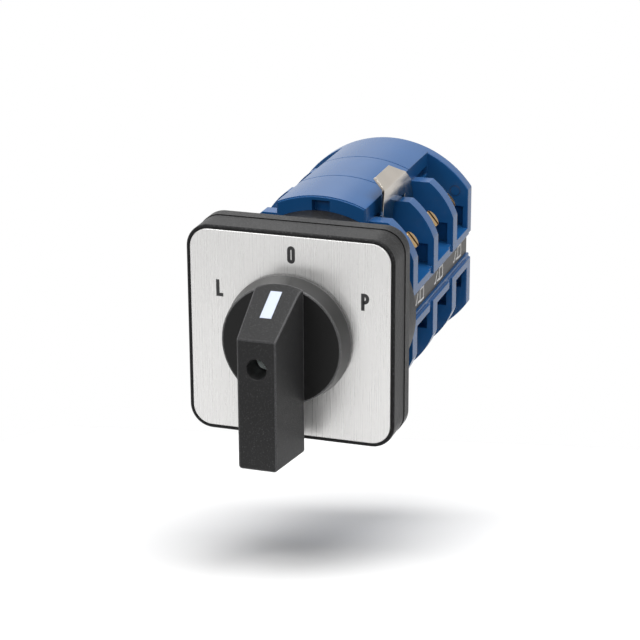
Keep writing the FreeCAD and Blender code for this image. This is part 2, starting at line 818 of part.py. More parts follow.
def make_stage_housing(number):
    """One moulded stage: saddle, divider wall, rails, terminal seats and the contact chambers."""
    body = new_body(f"stage_housing_{number}", y=stage_start(number))
    xz_pad(body, "saddle", S.seam_step, S.pitch - S.seam_step,
           lambda sketch: saddle_outline(sketch, saddle_half, S.saddle_radius))
    xz_pad(body, "seam", ZERO, S.seam_step,
           lambda sketch: saddle_outline(sketch, saddle_half - S.seam_step, S.saddle_radius - S.seam_step))
    xz_pad(body, "wing", S.wing_front, S.wing_thick, wing_outline)
    xz_pad(body, "rails", S.wing_front, S.pitch - S.wing_front, lambda sketch: box_outline(
        sketch, -S.wing_half, S.wing_half, -S.rail_high, S.rail_high))
    inset = S.wing_half - S.rail_step
    xz_pad(body, "rail_ends", ZERO, S.wing_front, lambda sketch: box_outline(
        sketch, -inset, inset, -S.rail_high, S.rail_high))
    seat = [
        (saddle_half - S.seam_step, S.rail_high - S.seam_step), (seat_reach, S.rail_high - S.seam_step),
        (seat_reach, seat_line(seat_reach)), (saddle_half - S.seam_step, seat_line(saddle_half - S.seam_step)),
    ]
    xz_pad(body, "terminal_seats", wing_back, S.pitch - wing_back, lambda sketch: four_ways(
        lambda side, up: mirrored_outline(sketch, side, up, seat)))
    strip_grooves(body, S.pitch)
    inside = S.pitch - wing_back
    xz_pocket(body, "cam_room", wing_back, inside, lambda sketch: add_circle(
        sketch, ZERO, ZERO, S.cam_mean + S.cam_lift + S.cam_room))
    xz_pocket(body, "contact_chamber", wing_back, inside, lambda sketch: box_outline(
        sketch, -chamber_reach, chamber_reach, -S.chamber_half, S.chamber_half))
    guide = S.plunger_half + S.plunger_side_gap
    xz_pocket(body, "plunger_guide", wing_back, inside, lambda sketch: box_outline(
        sketch, -guide_reach, guide_reach, -guide, guide))
    xz_pocket(body, "spring_chamber", wing_back, inside, lambda sketch: box_outline(
        sketch, -strip_inner, strip_inner, -S.spring_room, S.spring_room))
    xz_pocket(body, "bearing", ZERO, wing_back, lambda sketch: add_circle(
        sketch, ZERO, ZERO, S.journal_radius + S.journal_gap))
    strap_out = strap_inner + S.strap_thick
    slot_end = slot_top + S.contact_gap * 3
    slot = [
        (strap_inner, S.chamber_half), (strap_out, S.chamber_half), (strap_out, seat_line(strap_out)),
        (saddle_half, seat_line(saddle_half)), (saddle_half, slot_end), (strap_inner, slot_end),
    ]
    slot_start = stage_middle - S.strap_half
    xz_pocket(body, "strap_slots", slot_start, S.pitch - slot_start, lambda sketch: four_ways(
        lambda side, up: mirrored_outline(sketch, side, up, slot)))
    xz_pocket(body, "screw_recesses", stage_middle - S.terminal_recess, S.terminal_recess * 2,
              lambda sketch: four_ways(lambda side, up: mirrored_outline(sketch, side, up, recess_outline())))
    wing_recesses(body, S.wing_front)
    shelf = saddle_half - S.side_recess
    xz_pocket(body, "side_recesses", wing_back, inside - S.seam_step * 2, lambda sketch: four_ways(
        lambda side, up: corner_box(sketch, side, up, shelf, saddle_half,
                                    S.side_recess_low, S.side_recess_high)))
    xz_pocket(body, "front_window", ZERO, S.window_depth, lambda sketch: box_outline(
        sketch, -S.window_half, S.window_half, S.window_low, S.window_high))
    xz_pocket(body, "bolt_holes", ZERO, S.pitch, lambda sketch: bolt_circles(
        sketch, S.bolt_radius + S.bolt_gap))
    return body


def radial_spot(distance, across):
    """A point given by its distance along the terminal screw's axis and across it."""
    return (seat_cos * distance - seat_sin * across, seat_sin * distance + seat_cos * across)


def recess_outline():
    """Clearance under the terminal plate for the end of the terminal screw."""
    bottom = S.terminal_tip - S.contact_gap * 3
    over = S.seat_radius + S.strap_thick
    high = S.terminal_recess - S.terminal_shift
    low = -S.terminal_recess - S.terminal_shift
    return [radial_spot(bottom, high), radial_spot(bottom, low),
            radial_spot(over, low), radial_spot(over, high)]


def make_rear_cover():
    """End wall with the round flange, the shaft's rear bearing and the bolt heads' seats."""
    body = new_body("rear_cover", y=rear_front)
    corner = root(rear_radius * rear_radius - S.rear_half * S.rear_half)
    xz_pad(body, "flange", ZERO, S.rear_thick, lambda sketch: add_outline(sketch, [
        (S.rear_half, -corner), (S.rear_half, corner, rear_radius),
        (-S.rear_half, corner), (-S.rear_half, -corner, rear_radius),
    ]))
    strip_grooves(body, S.rear_thick)
    xz_pocket(body, "bearing", ZERO, S.shaft_end_length + S.journal_gap, lambda sketch: add_circle(
        sketch, ZERO, ZERO, S.shaft_end))
    wing_recesses(body, ZERO)
    xz_pocket(body, "bolt_holes", ZERO, S.rear_thick, lambda sketch: bolt_circles(
        sketch, S.bolt_radius + S.bolt_gap))
    xz_pocket(body, "bolt_seats", S.rear_thick - S.bolt_head_high, S.bolt_head_high,
              lambda sketch: bolt_circles(sketch, S.bolt_head + S.bolt_gap))
    return body


def make_label_strip(side_name, turn):
    """Plastic strip that slides into the grooves and closes the spring chambers."""
    body = new_body(f"label_strip_{side_name}", y=collar_back, turn=turn)
    xz_pad(body, "strip", ZERO, rear_back - collar_back, lambda sketch: box_outline(
        sketch, strip_inner, S.strip_outer, -S.groove_low, S.groove_low))
    return body


def cam_outline():
    """The cam's edge: its radius grows evenly with the angle on the right and falls on the left."""
    turn = S.cam_turn.value
    steps = 12

    def spot(angle, radius):
        return FreeCAD.Vector(radius * math.sin(math.radians(angle)), 0, radius * math.cos(math.radians(angle)))

    def flank(centre, sign):
        spots = []
        for step in range(steps + 1):
            angle = -turn + 2 * turn * step / steps
            spots.append(spot(centre + angle, S.cam_mean.value + sign * S.cam_lift.value * angle / turn))
        curve = Part.BSplineCurve()
        curve.interpolate(spots)
        return curve.toShape()

    def dwell(centre, radius):
        half = 90 - turn
        return Part.Arc(spot(centre - half, radius), spot(centre, radius), spot(centre + half, radius)).toShape()

    low = S.cam_mean.value - S.cam_lift.value
    high = S.cam_mean.value + S.cam_lift.value
    return Part.Wire([dwell(0, low), flank(90, 1), dwell(180, high), flank(270, -1)])


def make_cam(number):
    """Cam disc on a hub. The hub turns in the stage's front wall and its square bore fits the shaft."""
    thick = S.cam_thick.value
    disc = Part.Face(cam_outline()).extrude(FreeCAD.Vector(0, thick, 0))
    disc.translate(FreeCAD.Vector(0, stage_middle.value - thick / 2, 0))
    gap = S.journal_gap.value
    along = FreeCAD.Vector(0, 1, 0)
    hub = Part.makeCylinder(S.journal_radius.value, S.pitch.value - 2 * gap, FreeCAD.Vector(0, gap, 0), along)
    side = S.shaft_side.value
    bore = Part.makeBox(side, S.pitch.value, side, FreeCAD.Vector(-side / 2, 0, -side / 2))
    placement = FreeCAD.Placement(FreeCAD.Vector(0, stage_start(number).value, 0), FreeCAD.Rotation())
    return fixed_shape(f"cam_{number}", disc.fuse(hub).cut(bore).removeSplitter(), placement)


tip_front = S.cam_mean + S.cam_gap
tip_centre = tip_front + S.tip_radius
neck_end = S.bridge_in - S.plunger_wall


def make_plunger(number, side_name, turn):
    """Cam follower that carries a contact bridge in its window and a spring in its tail."""
    body = new_body(f"plunger_{number}_{side_name}", y=stage_start(number), turn=turn)
    start = wing_back + S.plunger_side_gap
    width = S.pitch - wing_back - S.plunger_side_gap * 2
    xz_pad(body, "body", start, width, lambda sketch: add_outline(sketch, [
        (tip_centre, S.tip_radius, S.tip_radius), (tip_front, ZERO, S.tip_radius),
        (tip_centre, -S.tip_radius),
        (neck_end, -S.tip_radius), (neck_end, -S.plunger_half), (plunger_tail, -S.plunger_half),
        (plunger_tail, S.plunger_half), (neck_end, S.plunger_half), (neck_end, S.tip_radius),
    ]))
    window = S.plunger_half + S.seam_step
    xz_pocket(body, "window", stage_middle - S.bridge_wide / 2, S.bridge_wide, lambda sketch: box_outline(
        sketch, S.bridge_in, S.bridge_in + S.bridge_thick, -window, window))
    seat = new_sketch(body, "seat_sketch", "YZ_Plane", plunger_tail - S.spring_seat)
    add_circle(seat, stage_middle, ZERO, S.spring_coil + S.bolt_gap)
    doc.recompute()
    pocket(body, "spring_seat", seat, S.spring_seat)
    return body


def x_rod(radius, start, end, y, z):
    """A round rod along X."""
    return Part.makeCylinder(radius, end - start, FreeCAD.Vector(start, y, z), FreeCAD.Vector(1, 0, 0))


def turned_half(side):
    """Half a turn about the axis takes a piece from the right side to the left."""
    return FreeCAD.Rotation(FreeCAD.Vector(0, 1, 0), 0 if side > 0 else 180)


def make_bridge(number, side_name, side):
    """Copper bar across both contacts, with a silver button at each end."""
    thick, wide, half = S.bridge_thick.value, S.bridge_wide.value, S.bridge_half.value
    middle = stage_middle.value
    bar = Part.makeBox(thick, wide, 2 * half, FreeCAD.Vector(S.bridge_in.value, middle - wide / 2, -half))
    face = S.bridge_in.value - S.button_thick.value / 2
    for up in (1, -1):
        button = x_rod(S.button_radius.value, face, S.bridge_in.value, middle, up * S.button_up.value)
        bar = bar.fuse(button)
    placement = FreeCAD.Placement(FreeCAD.Vector(0, stage_start(number).value, 0), turned_half(side))
    return fixed_shape(f"bridge_{number}_{side_name}", bar.removeSplitter(), placement)


def strap_shape():
    """Fixed contact of the upper right quadrant, about the stage's middle plane.

    A strip rises from the contact button beside the chamber, folds over the seat's top edge
    and lies down the seat as the terminal plate."""
    thick = S.strap_thick.value
    inner = strap_inner.value
    outer = inner + thick
    under, over = S.seat_radius.value, S.seat_radius.value + thick
    cosine_value, sine_value = seat_cos.value, seat_sin.value

    def on_plane(distance, x):
        return (distance - cosine_value * x) / sine_value

    reach = seat_reach.value - S.contact_gap.value
    drop = thick * cosine_value
    outline = [
        (inner, S.strap_low.value), (outer, S.strap_low.value), (outer, on_plane(under, outer)),
        (reach, on_plane(under, reach)), (reach + drop, on_plane(over, reach + drop)),
        (inner + thick / 2, on_plane(over, inner + thick / 2)), (inner, on_plane(under, inner)),
    ]
    half = S.strap_half.value
    spots = [FreeCAD.Vector(x, -half, z) for x, z in outline]
    strip = Part.Face(Part.makePolygon(spots + spots[:1])).extrude(FreeCAD.Vector(0, 2 * half, 0))
    hole = lean(Part.makeCylinder(S.terminal_shank.value + S.contact_gap.value, 2 * thick,
                                  FreeCAD.Vector(0, 0, under - thick / 2)))
    button = x_rod(S.button_radius.value, outer, contact_face.value - S.button_thick.value / 2, 0,
                   S.button_up.value)
    return strip.cut(hole).fuse(button).removeSplitter()


def quadrant_turn(side, up):
    """The half turn that takes the upper right quadrant to another one."""
    axes = {(1, 1): None, (-1, 1): (0, 0, 1), (1, -1): (1, 0, 0), (-1, -1): (0, 1, 0)}
    axis = axes[(side, up)]
    return FreeCAD.Rotation() if axis is None else FreeCAD.Rotation(FreeCAD.Vector(*axis), 180)


def middle_placement(number, side, up):
    """Where the middle of a stage's terminals lies, turned to the quadrant."""
    y = stage_start(number).value + stage_middle.value
    return FreeCAD.Placement(FreeCAD.Vector(0, y, 0), quadrant_turn(side, up))


def link_lift(number, side, up):
    """The jumper link's foot lifts the clamps of the two terminals that it joins."""
    joined = number in (1, 2) and (side, up) == (1, 1)
    return S.link_thick.value if joined else 0.0


def clamp_shape(lift):
    """Square clamp washer with its two outer edges turned down, on the screw's axis."""
    side, thick = S.clamp_side.value, S.clamp_thick.value
    base = S.seat_radius.value + S.strap_thick.value + lift
    plate = Part.makeBox(side, side, thick, FreeCAD.Vector(-side / 2, -side / 2, base))
    hole = Part.makeCylinder(S.terminal_shank.value + S.contact_gap.value, thick, FreeCAD.Vector(0, 0, base))
    channel = Part.makeBox(side, side / 2, thick / 2, FreeCAD.Vector(-side / 2, -side / 4, base))
    return lean(plate.cut(hole).cut(channel))


def screw_shape(lift):
    """Terminal screw with a slotted round head, on the screw's axis."""
    base = S.seat_radius.value + S.strap_thick.value + S.clamp_thick.value + lift
    head = Part.makeCylinder(S.terminal_head.value, S.terminal_head_high.value, FreeCAD.Vector(0, 0, base))
    edges = [edge for edge in head.Edges if edge.CenterOfMass.z > base + S.terminal_head_high.value / 2
             and len(edge.Vertexes) == 1]
    head = head.makeFillet(S.terminal_slot.value / 2, edges)
    bottom = S.terminal_tip.value
    shank = Part.makeCylinder(S.terminal_shank.value, base - bottom, FreeCAD.Vector(0, 0, bottom))
    wide = S.terminal_slot.value
    top = base + S.terminal_head_high.value - wide
    reach = S.terminal_head.value
    slot = Part.makeBox(2 * reach, wide, wide, FreeCAD.Vector(-reach, -wide / 2, top))
    return lean(head.fuse(shank).cut(slot))


def lean(shape):
    """Turn a piece made along +Z onto the terminal screw's axis, a little below the seat's middle."""
    shape.translate(FreeCAD.Vector(S.terminal_shift.value, 0, 0))
    shape.rotate(FreeCAD.Vector(), FreeCAD.Vector(0, 1, 0), 90 - S.seat_angle.value)
    return shape


def make_terminal_group(label, number, make_one):
    """The four like pieces of one stage, as one group of separate solids."""
    copies = []
    for side, up in QUADRANTS.values():
        copy = make_one(link_lift(number, side, up))
        copy.Placement = middle_placement(number, side, up).multiply(copy.Placement)
        copies.append(copy)
    return fixed_shape(f"{label}_{number}", Part.makeCompound(copies))


def make_tie_bolts():
    """Four long bolts from the rear cover into the mounting plate."""
    along = FreeCAD.Vector(0, 1, 0)
    back = rear_back.value
    seat = back - S.bolt_head_high.value
    reach, wide = S.bolt_head.value, S.terminal_slot.value
    bolts = []
    for side, up in QUADRANTS.values():
        x, z = side * S.bolt_across.value, up * S.bolt_up.value
        shank = Part.makeCylinder(S.bolt_radius.value, seat, FreeCAD.Vector(x, 0, z), along)
        head = Part.makeCylinder(reach, back - seat, FreeCAD.Vector(x, seat, z), along)
        slot = Part.makeBox(2 * reach, wide, wide, FreeCAD.Vector(x - reach, back - wide, z - wide / 2))
        bolts.append(shank.fuse(head).cut(slot))
    return fixed_shape("tie_bolts", Part.makeCompound(bolts))


def offset_path(points, distance):
    """The open path moved sideways by a distance, to the left of its direction."""
    moved = []
    for number, point in enumerate(points):
        normals = []
        for first, second in ((number - 1, number), (number, number + 1)):
            if first < 0 or second >= len(points):
                continue
            step = points[second] - points[first]
            normals.append(FreeCAD.Vector(-step.z, 0, step.x).normalize())
        mean = normals[0] + normals[-1]
        mean.normalize()
        moved.append(point + mean * (distance / mean.dot(normals[0])))
    return moved


# The link stands beside the saddle and its tab leans back over the saddle's corner.
saddle_corner = root(S.saddle_radius * S.saddle_radius - saddle_half * saddle_half)
link_low_x = saddle_half + S.link_stand
link_high_x = link_low_x + S.link_lean
link_high_z = saddle_corner + S.link_rise
link_tab_x = saddle_half - S.link_tab_over
link_tab_z = saddle_corner + S.link_tab_rise


def link_outline():
    """The link's outline seen from the side: two legs, a gap over the divider wall and cut corners."""
    first = stage_start(1).value
    wing_end = stage_start(2).value + wing_back.value
    front = first + wing_back.value + S.wing_front.value * 0.1
    leg_end = first + stage_middle.value + S.strap_half.value
    back_leg = stage_start(2).value + stage_middle.value
    over = S.wing_top.value + S.link_thick.value
    low, high, top = 0.0, link_high_z.value, link_tab_z.value + S.link_thick.value
    crest = front + S.link_bend.value / 2
    return [
        (front, low), (leg_end, low), (leg_end, over), (wing_end + S.link_thick.value, over),
        (wing_end + S.link_thick.value, low), (back_leg + S.strap_half.value, low),
        (back_leg + S.strap_half.value, over - S.link_bend.value * 4), (back_leg, high - S.link_bend.value * 4),
        (wing_end, high), (wing_end - 2 * S.link_bend.value, high + S.link_thick.value),
        (crest + S.link_thick.value + S.wing_thick.value * 2.4, top), (crest, top),
        (front, high - S.link_bend.value),
    ]


def make_jumper_link():
    """Bent strip that joins the upper right terminals of the first two stages."""
    thick = S.link_thick.value
    foot_plane = S.seat_radius.value + S.strap_thick.value + thick / 2

    def on_foot(x):
        return FreeCAD.Vector(x, 0, (foot_plane - seat_cos.value * x) / seat_sin.value)

    path = [
        on_foot(S.link_foot.value), on_foot(link_low_x.value),
        FreeCAD.Vector(link_high_x.value, 0, link_high_z.value),
        FreeCAD.Vector(link_tab_x.value, 0, link_tab_z.value),
    ]
    ring = offset_path(path, thick / 2) + offset_path(path, -thick / 2)[::-1]
    length = rear_back.value
    section = Part.Face(Part.makePolygon(ring + ring[:1])).extrude(FreeCAD.Vector(0, length, 0))
    bends = [edge for edge in section.Edges if is_bend(edge, path[1:3])]
    inner, outer = sort_bends(bends, path)
    section = section.makeFillet(S.link_bend.value - thick / 2, inner)
    outer = [edge for edge in section.Edges if any(same_line(edge, old) for old in outer)]
    section = section.makeFillet(S.link_bend.value + thick / 2, outer)
    spots = [FreeCAD.Vector(0, y, z) for y, z in link_outline()]
    side_view = Part.Face(Part.makePolygon(spots + spots[:1])).extrude(
        FreeCAD.Vector(S.wing_half.value, 0, 0))
    link = section.common(side_view)
    reach = S.terminal_shank.value + S.contact_gap.value
    base = S.seat_radius.value
    for number in (1, 2):
        y = stage_start(number).value + stage_middle.value
        fork = Part.makeCylinder(reach, 3 * S.strap_thick.value, FreeCAD.Vector(0, 0, base))
        fork = fork.fuse(Part.makeBox(S.clamp_side.value, 2 * reach, 3 * S.strap_thick.value,
                                      FreeCAD.Vector(0, -reach, base)))
        fork = lean(fork)
        fork.translate(FreeCAD.Vector(0, y, 0))
        link = link.cut(fork)
    return fixed_shape("jumper_link", link.removeSplitter())


def is_bend(edge, corners):
    """True for the two long edges beside each bend of the link."""
    middle = edge.CenterOfMass
    reach = S.link_thick.value * 1.6
    return edge.Length > S.pitch.value and any(
        math.hypot(middle.x - corner.x, middle.z - corner.z) < reach for corner in corners)


def sort_bends(edges, path):
    """Split the bend edges into those inside and those outside of their bend."""
    inner, outer = [], []
    for edge in edges:
        middle = edge.CenterOfMass
        near = min(range(1, len(path) - 1), key=lambda n: math.hypot(middle.x - path[n].x, middle.z - path[n].z))
        toward = (path[near - 1] - path[near]).normalize() + (path[near + 1] - path[near]).normalize()
        offset = FreeCAD.Vector(middle.x - path[near].x, 0, middle.z - path[near].z)
        (inner if offset.dot(toward) > 0 else outer).append(edge)
    return inner, outer


def same_line(edge, other):
    """True if two edges along Y lie on one line."""
    first, second = edge.CenterOfMass, other.CenterOfMass
    return edge.Length > S.pitch.value and math.hypot(first.x - second.x, first.z - second.z) < 1e-4


pieces = [
    make_legend_plate(),
    make_front_bezel(),
    make_mounting_plate(),
    make_latch_housing(),
    make_latch_star(),
    make_shaft(),
    make_handle(),
    make_handle_marker(),
    make_handle_screw(),
    make_rear_cover(),
    make_tie_bolts(),
    make_jumper_link(),
]
for side_name, side in (("right", 1), ("left", -1)):
    half_turn = None if side > 0 else (0, 1, 0)
    pieces.append(make_latch_slider(side_name, half_turn))
    pieces.append(make_spring(
        f"latch_spring_{side_name}", S.latch_coil, S.latch_wire, S.spring_turns.value,
        slider_tail - S.latch_seat, S.slot_reach, collar_front + slider_start + S.slider_thick / 2, side))
    pieces.append(make_label_strip(side_name, half_turn))
    for number in range(1, STAGES + 1):
        pieces.append(make_plunger(number, side_name, half_turn))
        pieces.append(make_bridge(number, side_name, side))
        pieces.append(make_spring(
            f"spring_{number}_{side_name}", S.spring_coil, S.spring_wire, S.spring_turns.value,
            plunger_tail - S.spring_seat, strip_inner, stage_start(number) + stage_middle, side))
for number in range(1, STAGES + 1):
    pieces.append(make_stage_housing(number))
    pieces.append(make_cam(number))
    pieces.append(make_terminal_group("terminal_clamps", number, clamp_shape))
    pieces.append(make_terminal_group("terminal_screws", number, screw_shape))
    for quadrant, (side, up) in QUADRANTS.items():
        pieces.append(fixed_shape(f"fixed_contact_{number}_{quadrant}", strap_shape(),
                                  middle_placement(number, side, up)))

doc.recompute()
for item in doc.Objects:
    if "Invalid" in item.State or "Error" in item.State:
        raise RuntimeError(f"{item.Label} did not recompute: {item.State}")
os.makedirs("parts", exist_ok=True)
for piece in pieces:
    if piece.Shape.isNull() or not piece.Shape.isValid():
        raise RuntimeError(f"{piece.Label} has no valid shape")
    piece.Shape.exportStep(f"parts/{piece.Label}.step")
    print(piece.Label, "solids", len(piece.Shape.Solids), "volume", round(piece.Shape.Volume, 2))
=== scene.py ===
import json
import math

import bmesh
import bpy
import numpy as np
from mathutils import Matrix, Vector

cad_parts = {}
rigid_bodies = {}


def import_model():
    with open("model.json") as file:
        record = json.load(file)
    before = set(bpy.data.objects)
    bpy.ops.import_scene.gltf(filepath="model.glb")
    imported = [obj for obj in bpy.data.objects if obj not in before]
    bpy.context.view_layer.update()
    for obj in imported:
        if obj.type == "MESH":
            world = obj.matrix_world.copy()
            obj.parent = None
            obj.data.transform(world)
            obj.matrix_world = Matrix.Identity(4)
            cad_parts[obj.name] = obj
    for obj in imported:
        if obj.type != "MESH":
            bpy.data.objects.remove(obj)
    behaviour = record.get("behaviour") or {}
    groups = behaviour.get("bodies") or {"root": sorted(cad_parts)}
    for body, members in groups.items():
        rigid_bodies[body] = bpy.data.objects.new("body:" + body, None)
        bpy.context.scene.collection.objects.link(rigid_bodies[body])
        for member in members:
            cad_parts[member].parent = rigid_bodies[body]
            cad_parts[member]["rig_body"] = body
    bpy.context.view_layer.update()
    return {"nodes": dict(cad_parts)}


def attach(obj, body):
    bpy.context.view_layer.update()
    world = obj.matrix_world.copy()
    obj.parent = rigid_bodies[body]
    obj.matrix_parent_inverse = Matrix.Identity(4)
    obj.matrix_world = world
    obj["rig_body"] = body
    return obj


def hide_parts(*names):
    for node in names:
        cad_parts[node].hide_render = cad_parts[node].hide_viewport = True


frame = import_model()
cad_nodes = frame["nodes"]
scene = bpy.context.scene
scene.view_settings.view_transform = "Standard"
MM = 0.001


# Camera: a long lens in front of the switch, to its right and a little above it.
# The two directions are those in which the picture runs to the right and downwards.
CAMERA_PLACE = Vector((0.19677, -0.57776, 0.21760))
PICTURE_RIGHT = Vector((0.95004, 0.31209, -0.00464))
PICTURE_DOWN = Vector((0.09998, -0.31837, -0.94268))
FOCAL_PIXELS = 2177.06
PICTURE_PIXELS = 640
SENSOR_WIDTH = 36.0
NEAREST = 0.05
FARTHEST = 20.0

camera_data = bpy.data.cameras.new("camera")
camera_data.sensor_width = SENSOR_WIDTH
camera_data.lens = FOCAL_PIXELS / PICTURE_PIXELS * SENSOR_WIDTH
camera_data.clip_start = NEAREST
camera_data.clip_end = FARTHEST
camera = bpy.data.objects.new("camera", camera_data)
scene.collection.objects.link(camera)
picture_up = -PICTURE_DOWN
turned = Matrix((PICTURE_RIGHT, picture_up, PICTURE_RIGHT.cross(picture_up))).transposed()
camera.matrix_world = Matrix.Translation(CAMERA_PLACE) @ turned.to_4x4()
scene.camera = camera


# Studio: a pale sheet well below the switch that falls away from the camera, white surroundings
# and soft lamps. The sheet looks white to the camera and keeps the soft shadow.
FLOOR_HEIGHT = -0.074
FLOOR_FALL = 15.0
FLOOR_SIDE = 0.40
FLOOR_MIDDLE = (0.0, 0.045)
FLOOR_SHADE = (0.62, 0.62, 0.62, 1.0)
FLOOR_SEEN = (0.80, 0.80, 0.80, 1.0)
SCENE_WHITE = (1.0, 1.0, 1.0, 1.0)
ROOM_BRIGHT_SIDE = (0.30, 0.36, 0.88)
ROOM_LIGHT = (0.12, 0.30)
ROOM_LIGHT_RANGE = (-0.6, 0.9)
SKY_LIGHT_FROM = (0.08, -0.02, 1.0)
SKY_LIGHT_POWER = 3.6
SKY_LIGHT_SPREAD = 56.0
LAMPS_AIM = (0.0, 0.03, 0.0)
LAMPS = {
    "key_lamp": {"place": (-0.45, -0.85, 0.55), "size": 0.45, "power": 2.6},
    "front_lamp": {"place": (0.30, -0.95, 0.46), "size": 0.25, "power": 1.6},
    "side_lamp": {"place": (0.90, -0.10, 0.35), "size": 0.6, "power": 0.4},
    "back_lamp": {"place": (-0.31, 0.78, 0.58), "size": 0.5, "power": 0.8},
}


def node_of(tree, kind, **settings):
    """Adds a shader node and sets its plain properties."""
    node = tree.nodes.new(kind)
    for name, value in settings.items():
        setattr(node, name, value)
    return node


def link(tree, source, target):
    """Joins a node's output socket to another's input socket."""
    tree.links.new(source, target)


def seen_or_mirrored(tree):
    """A mask: one for the camera's rays, for mirrored rays and for rays through glass."""
    path = node_of(tree, "ShaderNodeLightPath")
    mirrored = node_of(tree, "ShaderNodeMath", operation="MAXIMUM")
    link(tree, path.outputs["Is Camera Ray"], mirrored.inputs[0])
    link(tree, path.outputs["Is Glossy Ray"], mirrored.inputs[1])
    through = node_of(tree, "ShaderNodeMath", operation="MAXIMUM")
    link(tree, mirrored.outputs[0], through.inputs[0])
    link(tree, path.outputs["Is Transmission Ray"], through.inputs[1])
    return through.outputs[0]


def studio_floor():
    """A flat square grid: x and y run evenly from one edge to the other, and the height falls
    evenly in the direction in which the camera looks."""
    across = np.linspace(-FLOOR_SIDE / 2, FLOOR_SIDE / 2, 3)
    x, y = np.meshgrid(across + FLOOR_MIDDLE[0], across + FLOOR_MIDDLE[1], indexing="ij")
    away = (PICTURE_RIGHT.x * y - PICTURE_RIGHT.y * x) / math.hypot(PICTURE_RIGHT.x, PICTURE_RIGHT.y)
    height = FLOOR_HEIGHT - away * math.tan(math.radians(FLOOR_FALL))
    spots = np.stack([x, y, height], -1).reshape(-1, 3)
    corner = np.arange(9).reshape(3, 3)
    faces = np.stack([corner[:-1, :-1], corner[1:, :-1], corner[1:, 1:], corner[:-1, 1:]], -1)
    mesh = bpy.data.meshes.new("studio_floor")
    mesh.from_pydata(spots.tolist(), [], faces.reshape(-1, 4).tolist())
    floor = bpy.data.objects.new("studio_floor", mesh)
    scene.collection.objects.link(floor)
    return floor


def floor_finish():
    """White to the camera where the lamps light it, and darker where the switch shades it."""
    material = bpy.data.materials.new("floor_paper")
    material.use_nodes = True
    tree = material.node_tree
    tree.nodes.clear()
    paper = node_of(tree, "ShaderNodeBsdfDiffuse")
    paper.inputs["Color"].default_value = FLOOR_SHADE
    seen_paper = node_of(tree, "ShaderNodeBsdfDiffuse")
    seen_paper.inputs["Color"].default_value = FLOOR_SEEN
    choice = node_of(tree, "ShaderNodeMixShader")
    out = node_of(tree, "ShaderNodeOutputMaterial")
    link(tree, seen_or_mirrored(tree), choice.inputs[0])
    link(tree, paper.outputs[0], choice.inputs[1])
    link(tree, seen_paper.outputs[0], choice.inputs[2])
    link(tree, choice.outputs[0], out.inputs["Surface"])
    return material


floor = studio_floor()
floor.data.materials.append(floor_finish())

world = bpy.data.worlds.new("studio_light")
scene.world = world
world.use_nodes = True
world_tree = world.node_tree
world_tree.nodes.clear()
white_room = node_of(world_tree, "ShaderNodeBackground")
white_room.inputs["Color"].default_value = SCENE_WHITE
# To the camera and in mirrors the room is white. As a light it is brighter above and behind.
toward_room = node_of(world_tree, "ShaderNodeTexCoord")
brightness = node_of(world_tree, "ShaderNodeVectorMath", operation="DOT_PRODUCT")
brightness.inputs[1].default_value = Vector(ROOM_BRIGHT_SIDE).normalized()
link(world_tree, toward_room.outputs["Generated"], brightness.inputs[0])
room_light = node_of(world_tree, "ShaderNodeMapRange", interpolation_type="SMOOTHSTEP")
room_light.inputs["From Min"].default_value = ROOM_LIGHT_RANGE[0]
room_light.inputs["From Max"].default_value = ROOM_LIGHT_RANGE[1]
room_light.inputs["To Min"].default_value = ROOM_LIGHT[0]
room_light.inputs["To Max"].default_value = ROOM_LIGHT[1]
link(world_tree, brightness.outputs["Value"], room_light.inputs["Value"])
room_strength = node_of(world_tree, "ShaderNodeMapRange")
room_strength.inputs["To Max"].default_value = 1.0
link(world_tree, room_light.outputs["Result"], room_strength.inputs["To Min"])
link(world_tree, seen_or_mirrored(world_tree), room_strength.inputs["Value"])
link(world_tree, room_strength.outputs["Result"], white_room.inputs["Strength"])
room_out = node_of(world_tree, "ShaderNodeOutputWorld")
link(world_tree, white_room.outputs[0], room_out.inputs["Surface"])

sky_data = bpy.data.lights.new("sky_light", "SUN")
sky_data.energy = SKY_LIGHT_POWER
sky_data.angle = math.radians(SKY_LIGHT_SPREAD)
sky_light = bpy.data.objects.new("sky_light", sky_data)
sky_light.rotation_euler = (-Vector(SKY_LIGHT_FROM)).to_track_quat("-Z", "Y").to_euler()
scene.collection.objects.link(sky_light)

for lamp_name, lamp in LAMPS.items():
    lamp_data = bpy.data.lights.new(lamp_name, "AREA")
    lamp_data.shape = "DISK"
    lamp_data.size = lamp["size"]
    lamp_data.energy = lamp["power"]
    lamp_object = bpy.data.objects.new(lamp_name, lamp_data)
    lamp_object.location = lamp["place"]
    toward = Vector(LAMPS_AIM) - Vector(lamp["place"])
    lamp_object.rotation_euler = toward.to_track_quat("-Z", "Y").to_euler()
    scene.collection.objects.link(lamp_object)


# Front frame: a square frame of black moulded plastic with a fine grain and rounded edges.
# It stands on the panel's front and carries the legend plate in a shallow bed.
BEZEL_SHADE = (0.010, 0.010, 0.0103, 1.0)
PLATE_HALF = 30.9
PLATE_CORNER = 6.0
PLATE_THICK = 0.8
BEZEL_HALF = 32.0
BEZEL_CORNER = 7.1
BEZEL_FRONT = -10.5
BEZEL_EDGE = 0.8
LIP_EDGE = 0.15
BACK_EDGE = 0.35
CENTRE_HOLE = 6.2
CORNER_STEPS = 14
CLOUD_SCALE = 55.0
CLOUD_DETAIL = 5.0
GRAIN_DETAIL = 2.0
GRAIN_DEPTH = 0.00012
SPECK_RANGE = (0.55, 0.80)
EDGE_RANGE = (0.999, 0.975)
EDGE_SAMPLES = 6
HARD_EDGE = 32.0
SAME_POINT = 0.000001


